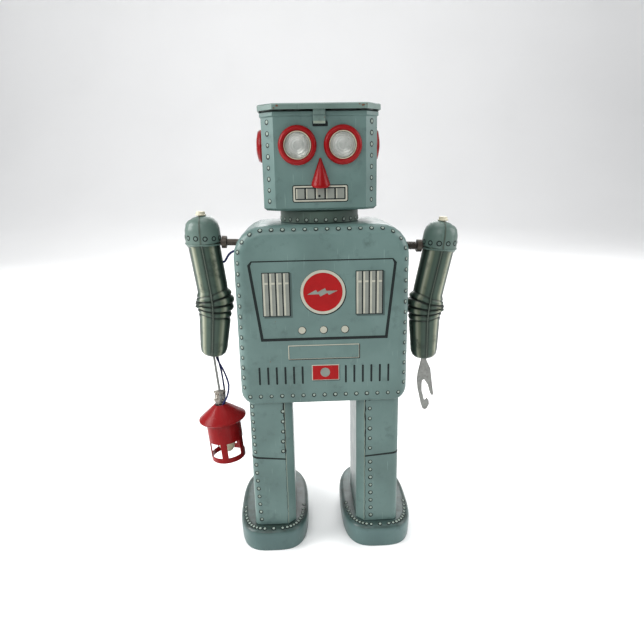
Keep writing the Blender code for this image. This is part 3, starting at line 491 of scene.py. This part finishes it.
def rivets(name, body, surface, places, outward, radius=1.0, slot="teal_tin", looks=None, ringed=False):
    """Small printed studs: a dark disc, and a pale dome on its middle if ringed, or a little off it,
    where the dark disc shows beside the dome as a painted shadow crescent.
    """
    looks = looks or (INK_DARK, STUD)
    sheet = Print(name, body, slot, list(looks))
    rng = random.Random(SEED + len(name))
    for place, push in zip(places, outward):
        spot, normal, _, _ = surface.find_nearest(place)
        if normal.dot(push) < 0:
            normal = -normal
        side = normal.cross(Vector((0, 0, 1)))
        side = side.normalized() if side.length > 0.2 else Vector((1, 0, 0))
        up = side.cross(normal).normalized() * -1
        up = up if up.z >= 0 else -up
        size = radius * rng.uniform(0.92, 1.08) * MM
        base = spot + normal * LIFT * MM
        turns = [2 * math.pi * k / STUD_SIDES for k in range(STUD_SIDES)]
        circle = [side * math.cos(a) + up * math.sin(a) for a in turns]
        sheet.face([base + way * size for way in circle], looks[0])
        # Painted shadow: off the middle, the dome moves up and aside so the dark disc shows as a
        # crescent.
        shadow_offset = Vector((0, 0, 0)) if ringed else (up * 0.12 - side * 0.07) * size
        rings = []
        for share, rise in ((0.60, 0.03), (0.46, 0.10), (0.23, 0.15)):
            rings.append([base + shadow_offset + normal * rise * MM + way * size * share for way in circle])
        for a, b in zip(rings, rings[1:]):
            for k in range(STUD_SIDES):
                m = (k + 1) % STUD_SIDES
                sheet.face([a[k], a[m], b[m], b[k]], looks[1])
        sheet.face(rings[-1], looks[1])
    return sheet.done()


def spaced(path, gap, start=0.0):
    """Points at an even gap along a path."""
    out, carry = [], start
    for a, b in zip(path, path[1:]):
        a, b = Vector(a), Vector(b)
        length = (b - a).length
        while carry <= length:
            out.append(a + (b - a) * (carry / length))
            carry += gap
        carry -= length
    return out


def run(start, end, count):
    """This many points from one end to the other, ends included."""
    a, b = Vector(start), Vector(end)
    return [a + (b - a) * (k / (count - 1)) for k in range(count)]


# ------------------------------------------------------------------------ head

def make_head():
    skin("head_shell", bevel=0.22, segments=3)
    skin("head_lid", LID, bevel=0.3, segments=3)
    skin("lid_latch", LID, bevel=0.12)
    make_lid_details()
    skin("neck_collar", COLLAR)
    shell = tree_of("head_shell")
    for name, side in SIDES:
        places = [at(*p) for p in run((side * 20.9, -17.6, 190.4), (side * 20.9, -17.6, 160.0), 8)]
        rivets("head_rivets_" + name, BODY["head_shell"], shell, places,
               [Vector((side, -1, 0))] * 8, 1.02, ringed=side > 0)
        back = [at(*p) for p in run((side * 20.8, 17.0, 190.4), (side * 20.8, 17.0, 160.0), 8)]
        rivets("head_back_rivets_" + name, BODY["head_shell"], shell, back,
               [Vector((side, 1, 0))] * 8, 0.92)
    mouth = Print("mouth_print", BODY["head_shell"], "teal_tin", [INK_DARK, INK_PALE, INK_GREY])
    shape(mouth, facing(HEAD_FRONT, 0), rounded(-11.5, 11.1, 159.4, 166.3, 0.9), INK_DARK)
    shape(mouth, facing(HEAD_FRONT, 1), rounded(-11.1, 10.7, 159.8, 165.9, 0.6), INK_PALE)
    shape(mouth, facing(HEAD_FRONT, 2), rounded(-10.4, 10.0, 160.4, 165.3, 0.3), INK_DARK)
    for k in range(5):
        left = -10.0 + 4.03 * k
        shape(mouth, facing(HEAD_FRONT, 3), rounded(left, left + 3.35, 160.9, 164.8, 0.15), INK_GREY)
        shape(mouth, facing(HEAD_FRONT, 4), rounded(left, left + 0.5, 160.9, 164.8, 0.1), INK_PALE)
    # Painted shade: a dark disc for the small smoke hole in the middle tooth.
    shape(mouth, facing(HEAD_FRONT, 5), disc(-0.6, 161.9, 0.5, 16), INK_DARK)
    mouth.done()
    ring = tree_of("neck_collar")
    places, pushes = [], []
    for k in range(26):
        a = 2 * math.pi * k / 26
        places.append(at(17.1 * math.cos(a), 17.1 * math.sin(a), 152.0))
        pushes.append(Vector((math.cos(a), math.sin(a), 0)))
    rivets("neck_rivets", BODY["neck_collar"], ring, places, pushes, 0.95)


def make_lid_details():
    # Painted shade: a dark patch on the head front over the slot the latch goes into.
    slot = Print("latch_slot_shade", BODY["head_shell"], "teal_tin", [INK_DARK])
    shape(slot, facing(HEAD_FRONT, 0), rounded(-2.8, 3.2, 188.5, 190.3, 0.2), INK_DARK)
    slot.done()
    lip = Print("latch_lip", BODY["lid_latch"], "teal_tin", [EDGE, INK_SHADE])
    shape(lip, facing(LATCH_FRONT, 1), rounded(-2.5, 2.1, 189.5, 190.4, 0.1), EDGE)
    shape(lip, facing(LATCH_FRONT, 1), rounded(-2.5, 2.1, 192.4, 192.7, 0.05), INK_SHADE)
    lip.done()
    rng = random.Random(SEED)
    wear = Print("lid_wear", BODY["head_lid"], "teal_tin", [RUST])
    for x, z, size in ((-16.5, 196.0, 0.7), (16.8, 195.9, 0.8),
                       (15.4, 196.3, 0.4), (-17.6, 195.2, 0.4)):
        outline = [(x + size * rng.uniform(0.6, 1.2) * math.cos(2 * math.pi * k / 9),
                    z + 0.7 * size * rng.uniform(0.6, 1.1) * math.sin(2 * math.pi * k / 9))
                   for k in range(9)]
        shape(wear, facing(LID_FRONT, 0), outline, RUST)
    wear.done()


def make_face():
    front = FACE_FRONT
    for name, side in SIDES:
        centre = (side * EYE_X, EYE_Z)
        bezel = [(5.45, front), (7.60, front), (7.62, front - 0.5), (7.45, front - 1.2),
                 (7.1, front - 1.8),
                 (6.65, front - 2.2), (6.2, front - 2.25), (5.8, front - 1.95), (5.5, front - 1.4)]
        rows = revolved(bezel, centre, "y", 80)
        piece("bezel_" + name, rows_mesh("bezel", rows, closed=True), RED, BODY["eye_bezel_" + name],
              ("eye_bezel_" + name,), 50)
        rim = [(5.08, front - 0.3), (5.40, front - 0.3), (5.40, front - 1.5), (5.25, front - 1.7),
               (5.08, front - 1.5)]
        piece("bezel_rim_" + name, rows_mesh("rim", revolved(rim, centre, "y", 80), closed=True), CREAM,
              BODY["eye_bezel_" + name], (), 50)
        dome = [(5.0, front), (5.0, front - 0.8)]
        for k in range(49):
            share = 1 - k / 48
            ripple = 0.16 * math.cos(share * 2 * math.pi * 4.5)
            dome.append((max(4.9 * share, 0.05),
                         front - 0.9 - 2.1 * (1 - share * share) + ripple * share))
        piece("lens_" + name, rows_mesh("lens", revolved(dome, centre, "y", 80)), LENS,
              BODY["eye_lens_" + name], ("eye_lens_" + name,), 60)
        dish = [(4.7, front - 0.1), (4.7, front - 0.25), (3.2, front - 0.15), (1.5, front - 0.12),
                (0.4, front - 0.12),
                (0.4, front - 0.02), (4.6, front - 0.02)]
        piece("reflector_" + name, rows_mesh("dish", revolved(dish, centre, "y", 64)), REFLECTOR,
              BODY["eye_lens_" + name], (), 50)
        skin("ear_" + name, bevel=0)
    nose = []
    for z, width, depth, dip in (
            (176.6, 0.35, 0.35, 0), (174.2, 1.2, 1.35, 0.05), (171.5, 2.2, 2.4, 0.2),
            (169.2, 2.95, 3.3, 0.5), (167.0, 3.7, 4.2, 0.8), (166.3, 3.8, 4.3, 0.95),
            (166.0, 3.7, 4.15, 1.0)):
        row = []
        for k in range(33):
            a = math.radians(180 + 180 * k / 32)
            row.append(at(math.cos(a) * width, front + math.sin(a) * depth, z + math.sin(a) * dip))
        nose.append(row)
    piece("nose", rows_mesh("nose", nose), RED, BODY["nose_cone"], ("nose_cone",), 60)


# ----------------------------------------------------------------------- torso

def make_torso():
    skin("torso_front_shell", bevel=0.12)
    skin("torso_back_shell", bevel=0.12)
    skin("battery_door", bevel=0.12)
    looks = [INK_DARK, INK_PALE, INK_GREY, INK_RED, INK_SHADE]
    art = Print("chest_print", BODY["torso_front_shell"], "teal_tin", looks)
    base, over, top, last, crown = (facing(-FRONT, n) for n in range(5))
    panel = [(-30.3, 134.6), (-29.2, 136.2), (29.2, 136.2), (30.3, 134.6), (26.9, 102.6),
             (-26.1, 102.6)]
    line(art, base, panel, [1.15, 0.5, 0.5, 1.15, 1.25, 1.25], INK_DARK)
    for left in (-25.3, 13.7):
        shape(art, base, rounded(left + 0.5, left + 12.4, 112.1, 131.3, 0.2), INK_SHADE)
        shape(art, over, rounded(left, left + 11.7, 112.8, 131.6, 0.2), INK_DARK)
        for k in range(4):
            edge = left + 0.3 + 2.85 * k
            shape(art, top, rounded(edge, edge + 2.3, 113.1, 131.3, 0.15), INK_GREY)
            shape(art, last, rounded(edge + 0.15, edge + 0.85, 113.3, 131.1, 0.15), INK_PALE)
            shape(art, crown, rounded(edge + 0.1, edge + 2.2, 126.6, 127.4, 0.1), INK_PALE)
    shape(art, base, disc(0.15, 122.6, 9.75), INK_DARK)
    shape(art, over, disc(0, 122.8, 9.45), INK_PALE)
    shape(art, top, disc(0, 122.8, 8.25), INK_RED)
    bolt = [(-6.6, 121.9), (-2.9, 123.9), (-2.3, 122.9), (0.9, 124.5), (1.5, 123.4), (6.2, 123.4),
            (2.5, 121.6),
            (1.9, 122.5), (-1.1, 121.0), (-1.7, 122.0)]
    shape(art, last, bolt, INK_GREY)
    for x in (-9.15, 0, 9.1):
        shape(art, base, disc(x + 0.1, 106.4, 1.75, 24), INK_DARK)
        shape(art, over, disc(x, 106.5, 1.5, 24), INK_PALE)
    shape(art, base, rounded(-15.1, 15.6, 93.2, 99.7, 0.2), INK_DARK)
    shape(art, over, rounded(-15.3, 15.2, 93.6, 99.9, 0.2), INK_PALE)
    shape(art, top, rounded(-14.9, 15.0, 93.8, 99.5, 0.15), INK_SHADE)
    for side in (-1, 1):
        for k in range(6):
            x = side * (9.4 + 3.72 * k)
            shape(art, base, rounded(x - 0.42, x + 0.42, 82.2, 90.3, 0.4), INK_DARK)
    shape(art, base, rounded(-5.0, 6.9, 83.2, 90.3, 0.3), INK_SHADE)
    shape(art, over, rounded(-5.4, 6.5, 83.7, 90.8, 0.3), INK_PALE)
    shape(art, top, rounded(-5.0, 6.2, 83.9, 90.4, 0.2), INK_RED)
    shape(art, last, disc(0.4, 87.3, 2.1, 24), INK_GREY)
    art.done()
    plate = Print("plate_print", BODY["torso_front_shell"], "teal_tin", [TEAL])
    shape(plate, facing(-FRONT, 3), rounded(-14.7, 15.0, 93.9, 99.4, 0.15), TEAL)
    plate.done()
    make_torso_rivets()


def outline_path(inset, y, low_z):
    """Up one side, round the shoulders and down the other, on the rolled edge."""
    x, z, r = TORSO_HALF - inset, TORSO_TOP - inset, TORSO_ROUND - inset
    path = [(-x, y, low_z)]
    for cx, start in ((-x + r, 180), (x - r, 90)):
        for k in range(9):
            a = math.radians(start - 90 * k / 8)
            path.append((cx + r * math.cos(a), y, z - r + r * math.sin(a)))
    path.append((x, y, low_z))
    return path


def make_torso_rivets():
    for label, nodes, y, push in (("front", "torso_front_shell", -21.9, -1),
                                  ("back", "torso_back_shell", 19.6, 1)):
        surface = tree_of(nodes)
        places = [at(*p) for p in spaced(outline_path(1.7 if push < 0 else 2.6, y, 81.0), 4.55)]
        middle = at(0, 0, 110)
        pushes = [(p - middle) + Vector((0, push * 0.05, 0)) for p in places]
        rivets("torso_rivets_" + label, BODY[nodes], surface, places, pushes, 0.98)
        row = [at(*p) for p in run((-32.6, push * TORSO_FACE, 76.8),
                                   (32.6, push * TORSO_FACE, 76.8), 15)]
        rivets("torso_foot_rivets_" + label, BODY[nodes], surface, row,
               [Vector((0, push, 0))] * 15, 0.95)


# ------------------------------------------------------------------------ legs

def foot_edge(side, angle, half_x, half_y):
    """A point (x, y) on a foot's outline, a squared oval."""
    power = FOOT_TOE if math.sin(angle) < 0 else FOOT_HEEL
    x = math.copysign(abs(math.cos(angle)) ** power, math.cos(angle)) * half_x
    y = math.copysign(abs(math.sin(angle)) ** power, math.sin(angle)) * half_y
    return side * FOOT_X + x, FOOT_Y + y


def foot_rows(side):
    """The foot as a thin shell, open underneath: up inside, round the rim, then over the top."""
    levels = [(3.4, 10.1), (1.6, 9.7), (0.6, 8.2), (0.4, 5.4), (0.4, 3.0), (1.15, 0.02),
              (0.5, 0.02), (0.35, 0.6), (0.1, 4.0), (0.0, 8.0), (0.12, 9.0), (0.5, 9.8),
              (1.2, 10.4), (2.2, 10.72), (3.4, 10.8), (8.0, 10.8)]
    rows = []
    for off, z in levels:
        outline = [foot_edge(side, 2 * math.pi * i / FOOT_SIDES, FOOT_HALF_X - off, FOOT_HALF_Y - off)
                   for i in range(FOOT_SIDES)]
        rows.append([at(x, y, z) for x, y in outline])
    return rows


def shade_foot(mesh):
    """How much painted shade each point takes: rising over the turn from the sides to the top, and most
    over the whole top.
    """
    layer = mesh.color_attributes.new("grime_and_shade", "FLOAT_COLOR", "POINT")
    for value, vertex in zip(layer.data, mesh.vertices):
        z = vertex.co.z / MM
        painted_shade = min(max((z - 8.8) / 1.0, 0), 1) * 0.95
        value.color = (painted_shade, painted_shade, painted_shade, 1)


def make_legs():
    for name, side in SIDES:
        leg, foot = "leg_shell_" + name, "foot_" + name
        skin(leg, bevel=0.15)
        pillow = rows_mesh("foot", foot_rows(side))
        shade_foot(pillow)
        piece("foot_pillow_" + name, pillow, FOOT, BODY[foot], (foot,), 50)
        surface = tree_of(leg)
        if side < 0:
            inner_top, inner_knee, inner_low, inner_foot = -18.6, -19.2, -19.2, -19.2
        else:
            inner_top, inner_knee, inner_low, inner_foot = 20.1, 20.4, 20.5, 20.9
        front = [at(*p) for p in run((inner_top, -21.2, 73.5), (inner_knee, -21.2, 49.0), 6)]
        outer = []
        if side < 0:
            outer = [at(*p) for p in run((-32.6, -21.0, 75.0), (-32.0, -21.0, 49.0), 8)]
            outer += [at(*p) for p in run((-31.8, -21.1, 42.5), (-30.5, -21.2, 14.0), 8)]
        else:
            front += [at(*p) for p in run((inner_low, -21.2, 42.0), (inner_foot, -21.2, 14.0), 8)]
        chosen = outer + front
        rivets("leg_rivets_" + name, BODY[leg], surface, chosen,
               [Vector((side * 0.3, -1, 0))] * len(chosen), 1.0)
        knee = Print("knee_print_" + name, BODY[leg], "teal_tin", [INK_DARK, EDGE])

        def round_corner(x, z):
            past = max(abs(x) - 30.6, 0) / 3.0
            return at(side * (min(abs(x), 30.6) + (3.0 + LIFT) * math.sin(past)),
                      -18.2 - (3.0 + LIFT) * math.cos(past), z)

        knee_line = [(side * x, 45.0 + 0.09 * (x - 17.9))
                     for x in (17.9, 21, 24, 27, 30.6, 31.6, 32.6, 33.6, 34.6)]
        line(knee, round_corner, knee_line, [0.7 + 0.06 * k for k in range(len(knee_line))],
             INK_DARK, closed=False)
        rng = random.Random(SEED + side)
        path = [(side * (18.2 + rng.uniform(-0.2, 0.2)), 11.6 + 63.0 * k / 40) for k in range(41)]
        widths = [rng.uniform(0.10, 0.22) if p[1] < 47 else rng.uniform(0.2, 0.75) for p in path]
        line(knee, facing(LEG_FRONT, 1), path, widths, INK_DARK, closed=False)
        line(knee, facing(LEG_FRONT, 1), [(x - side * 0.35, z) for x, z in path[::5]],
             [0.22] * 9, EDGE, closed=False)
        knee.done()
        top = shown_tree("foot_pillow_" + name)
        places = []
        for k in range(23):
            x, y = foot_edge(side, math.radians(190 + 160 * k / 22), 14.6, 27.9)
            places.append(at(x, y, 10.6))
        rivets("foot_rivets_" + name, BODY[foot], top, places, [Vector((0, 0, 1))] * len(places), 1.0)


# ------------------------------------------------------------------------ arms

# the arm's middle line below the shoulder: x, z and radius, from the cap's top to the wrist
ARM_LINE = ((53.9, 11.2, 1.8), (53.85, 10.8, 3.6), (53.7, 9.7, 5.6), (53.6, 8.1, 6.9),
            (53.4, 5.6, 7.6), (53.2, 3.0, 7.75), (52.95, -0.4, 7.75), (52.75, -1.6, 6.95),
            (49.5, -21.5, 6.9), (49.0, -24.2, 8.1), (48.6, -26.6, 8.7), (48.5, -29.0, 8.6),
            (48.6, -31.8, 7.7), (48.7, -34.5, 7.2), (49.6, -49.0, 6.3), (49.85, -51.2, 5.7),
            (49.95, -52.4, 4.6), (50.0, -53.0, 3.0))


def from_shoulder(x, y, z):
    c, s = math.cos(ARM_TILT), math.sin(ARM_TILT)
    return at(SHOULDER_X + x * c + z * s, y, SHOULDER_Z - x * s + z * c)


def arm_stations():
    """The arm's stations with finer ones between them, finest in the elbow's gathers."""
    out = []
    for (x0, z0, r0), (x1, z1, r1) in zip(ARM_LINE, ARM_LINE[1:]):
        gathered = -36 < (z0 + z1) / 2 < -19
        count = max(2, int(abs(z1 - z0) * (5 if gathered else 1.2)))
        for k in range(count):
            t = k / count
            out.append((x0 + (x1 - x0) * t, z0 + (z1 - z0) * t, r0 + (r1 - r0) * t))
    out.append(ARM_LINE[-1])
    return out


def gather(z, a, outward):
    """How deep the elbow's gathers are, 0 to 1: they close up outside and fan out inside."""
    inside = 0.5 - 0.5 * outward * math.cos(a)
    half = 5.4 + 2.4 * inside
    u = (z - ELBOW_Z) / half
    if abs(u) >= 1:
        return 0.0
    return (1 - u ** 4) * (1 - abs(math.sin(u * math.pi * 2.5 + 0.35 * math.sin(2 * a)))) ** 1.3


def make_arm_half(name, side, outward):
    label = "outer" if outward > 0 else "inner"
    node = "arm_%s_%s" % (label, name)
    stations = arm_stations()
    rows, unwrap, depth = [], [], []
    for i, (x, z, r) in enumerate(stations):
        x1, z1, _ = stations[min(i + 1, len(stations) - 1)]
        x0, z0, _ = stations[max(i - 1, 0)]
        length = math.hypot(x1 - x0, z1 - z0)
        nx, nz = -(z1 - z0) / length, (x1 - x0) / length
        row = []
        for k in range(ARM_SIDES + 1):
            a = -math.pi / 2 + 0.008 + (math.pi - 0.016) * k / ARM_SIDES
            fold = gather(z, a, outward)
            radius = r - 0.85 * fold
            out = radius * math.cos(a) * outward
            row.append(from_shoulder(side * (x + nx * out), radius * math.sin(a), z + nz * out))
            unwrap.append((k / ARM_SIDES, z))
            depth.append(fold)
        rows.append(row)
    n = ARM_SIDES + 1
    points = [p for row in rows for p in row]
    faces = [(i * n + k, i * n + k + 1, (i + 1) * n + k + 1, (i + 1) * n + k)
             for i in range(len(rows) - 1) for k in range(ARM_SIDES)]
    if side * outward > 0:
        faces = [tuple(reversed(face)) for face in faces]
    mesh = mesh_of(node, points, faces)
    layer = mesh.uv_layers.new(name="UVMap")
    for loop in mesh.loops:
        u, z = unwrap[loop.vertex_index]
        layer.data[loop.index].uv = (u, (z + 60) / 80)
    # Fold depth at each point, kept for the painted shade in the elbow's creases.
    creases = mesh.color_attributes.new("painted_crease_shade", "FLOAT_COLOR", "POINT")
    for value, fold in zip(creases.data, depth):
        value.color = (fold, fold, fold, 1)
    for face in mesh.polygons:
        height = sum(unwrap[v][1] for v in face.vertices) / 4
        face.material_index = 1 if height > CAP_FROM else 0
    obj = piece("arm_skin_%s_%s" % (label, name), mesh, [ARM, CAP], BODY[node], (node,), 50)
    wall = obj.modifiers.new("wall", "SOLIDIFY")
    wall.thickness = 0.5 * MM
    wall.offset = -1.0


def make_arm_trim(name, side):
    """The raised seam down the front and back, and the cap's turned lip."""
    body = BODY["arm_outer_" + name]
    stations = arm_stations()
    for label, facing_y in (("front", -1), ("back", 1)):
        rows = []
        for x, z, r in stations:
            rows.append([from_shoulder(side * (x + dx), facing_y * (r + dy), z)
                         for dx, dy in ((-0.32, -0.25), (-0.22, 0.16), (0.22, 0.16), (0.32, -0.25))])
        piece("arm_seam_%s_%s" % (label, name), rows_mesh("seam", rows), SEAM, body, (), 50)
    rows = []
    for r, h in ((7.6, -0.5), (8.0, -0.6), (8.05, -0.95), (7.6, -1.2), (7.0, -1.3), (7.0, -0.5)):
        rows.append([from_shoulder(side * (53.0 + r * math.cos(2 * math.pi * k / 64)),
                                   r * math.sin(2 * math.pi * k / 64), h) for k in range(64)])
    piece("arm_lip_" + name, rows_mesh("lip", rows, closed=True), CAP, body, (), 50)


def make_arms():
    for name, side in SIDES:
        body = BODY["arm_outer_" + name]
        for outward in (1, -1):
            make_arm_half(name, side, outward)
        make_arm_trim(name, side)
        # Painted highlight: the tab takes the cream finish for the glint on its top.
        skin("arm_top_tab_" + name, CREAM, bevel=0.1)
        skin("shoulder_axle_" + name, DARK, bevel=0.06)
        skin("hand_" + name, BARE, bevel=0.2, segments=3)
        surface = shown_tree("arm_skin_outer_" + name, "arm_skin_inner_" + name)
        places, pushes = [], []
        for k in range(12):
            a = 2 * math.pi * (k + 0.5) / 12
            places.append(from_shoulder(side * (53.1 + 7.75 * math.cos(a)), 7.75 * math.sin(a), 2.0))
            pushes.append(Vector((side * math.cos(a), math.sin(a), 0)))
        rivets("arm_rivets_" + name, body, surface, places, pushes, 1.2, "arm_tin",
               looks=(INK_DARK, CAP), ringed=True)
    skin("shoulder_spring_left", DARK, bevel=0)


# --------------------------------------------------------------------- lantern

def make_lantern():
    skin("lantern_roof", RED, bevel=0, sharp=50)
    skin("lantern_cage", RED, bevel=0.12, sharp=50)
    skin("lantern_bulb", BULB, bevel=0, sharp=60)
    skin("lantern_hanger", BARE, bevel=0, sharp=60)
    make_foil()


def make_foil():
    """A strip of crumpled foil wound round the hanger above the roof."""
    low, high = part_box("lantern_hanger")
    middle = (low + high) / 2
    rng = random.Random(SEED)
    rows = []
    for i in range(22):
        share = i / 21
        z = low.z + (high.z - low.z) * (0.36 + 0.60 * share)
        swell = 2.35 * MM * (0.85 + 0.25 * math.sin(share * 5.0) ** 2)
        row = []
        for k in range(26):
            a = 2 * math.pi * k / 26
            rough = 1 + rng.uniform(-0.17, 0.17)
            row.append(Vector((middle.x + swell * 1.05 * math.cos(a) * rough,
                               middle.y + swell * 0.55 * math.sin(a) * rough,
                               z + rng.uniform(-0.2, 0.2) * MM)))
        rows.append(row)
    piece("hanger_foil", rows_mesh("foil", rows), FOIL, BODY["lantern_hanger"], (), 12)


def make_wires():
    """Each wire as a smooth-shaded copy of its own shape, fixed where it stands."""
    for node, a, b in (("wire_shoulder", "torso", "arm_right"),
                       ("wire_lantern_a", "arm_right", "lantern"),
                       ("wire_lantern_b", "arm_right", "lantern")):
        mesh, bm = own_mesh(node)
        bm.to_mesh(mesh)
        bm.free()
        for face in mesh.polygons:
            face.material_index = 0
            face.use_smooth = True
        mesh.materials.append(WIRE)
        obj = bpy.data.objects.new("bent_" + node, mesh)
        obj.matrix_world = frame["nodes"][node].matrix_world
        bpy.context.scene.collection.objects.link(obj)
        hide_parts(node)
        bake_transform(obj)


def make_rest():
    """Nodes that keep their CAD shape get their own finish."""
    for node, obj in frame["nodes"].items():
        if obj.hide_render:
            continue
        look = SLOT_LOOK[SLOT[node]]
        if obj.data.materials:
            for place in obj.material_slots:
                place.material = look
        else:
            obj.data.materials.append(look)


# ----------------------------------------------------------------------- stage

LAMPS = (("left", (-0.85, -0.10, 0.55), 0.6, 10.5), ("right", (0.85, -0.05, 0.50), 0.6, 5.0),
         ("front", (-0.25, -0.75, 0.75), 0.5, 3.2), ("top", (0.0, 0.15, 1.0), 0.6, 3.4),
         ("back", (0.1, 0.8, 0.6), 0.6, 4.0))
LAMPS_AIM = (0, 0, 0.1)
WORLD_POWER = 0.45
VIEW_YAW, VIEW_PITCH, VIEW_ROLL = (math.radians(d) for d in (-2.37, -15.27, -1.03))
VIEW_FROM = (-9.9, -247.7, 171.3)
VIEW_LENS, VIEW_SENSOR = 30.75, 36.0


def make_stage():
    """A pale floor that curves up behind, soft light all round and five lamps."""
    profile = [(-2.5, 0.0), (0.9, 0.0)]
    profile += [(0.9 + 0.6 * math.sin(math.radians(a)), 0.6 - 0.6 * math.cos(math.radians(a)))
                for a in range(9, 91, 9)]
    profile.append((1.5, 3.0))
    rows = [[Vector((x, y, z)) for x in (-3.5, 3.5)] for y, z in profile]
    floor = mesh_of("floor", [p for row in rows for p in row],
                    [(2 * i, 2 * i + 1, 2 * i + 3, 2 * i + 2) for i in range(len(rows) - 1)])
    for face in floor.polygons:
        face.use_smooth = True
    mat, tree, shader = new_material("floor_paper", 0.6)
    colour = ramp(tree, noise(tree, 6, 3), ((0.3, (0.93, 0.93, 0.93)), (0.7, (0.96, 0.96, 0.96))))
    tree.links.new(colour, shader.inputs["Base Color"])
    obj = bpy.data.objects.new("floor", floor)
    bpy.context.scene.collection.objects.link(obj)
    floor.materials.append(mat)
    world = bpy.data.worlds.new("studio")
    world.use_nodes = True
    world.node_tree.nodes["Background"].inputs[0].default_value = (0.97, 0.985, 1.0, 1)
    world.node_tree.nodes["Background"].inputs[1].default_value = WORLD_POWER
    bpy.context.scene.world = world
    for name, place, size, power in LAMPS:
        light = bpy.data.lights.new(name, "AREA")
        light.size, light.energy = size, power
        lamp = bpy.data.objects.new(name, light)
        lamp.location = place
        lamp.rotation_euler = (Vector(LAMPS_AIM) - Vector(place)).to_track_quat("-Z", "Y").to_euler()
        bpy.context.scene.collection.objects.link(lamp)


def make_camera():
    """The photograph's own angle, fitted to the robot's proportions."""
    yaw, pitch, roll = VIEW_YAW, VIEW_PITCH, VIEW_ROLL
    data = bpy.data.cameras.new("view")
    data.lens, data.sensor_width = VIEW_LENS, VIEW_SENSOR
    camera = bpy.data.objects.new("view", data)
    forward = Vector((-math.sin(yaw) * math.cos(pitch), math.cos(yaw) * math.cos(pitch),
                      math.sin(pitch)))
    right = Vector((math.cos(yaw), math.sin(yaw), 0))
    up = right.cross(forward)
    across = right * math.cos(roll) + up * math.sin(roll)
    above = -right * math.sin(roll) + up * math.cos(roll)
    camera.matrix_world = axes_at(across, above, -forward, at(*VIEW_FROM))
    bpy.context.scene.collection.objects.link(camera)
    bpy.context.scene.camera = camera


def axes_at(x, y, z, place):
    return Matrix(((x.x, y.x, z.x, place.x), (x.y, y.y, z.y, place.y), (x.z, y.z, z.z, place.z),
                   (0, 0, 0, 1)))


make_camera()
make_head()
make_face()
make_torso()
make_legs()
make_arms()
make_lantern()
make_wires()
make_rest()
make_stage()
bpy.context.scene.view_settings.view_transform = "Standard"
bpy.context.view_layer.update()
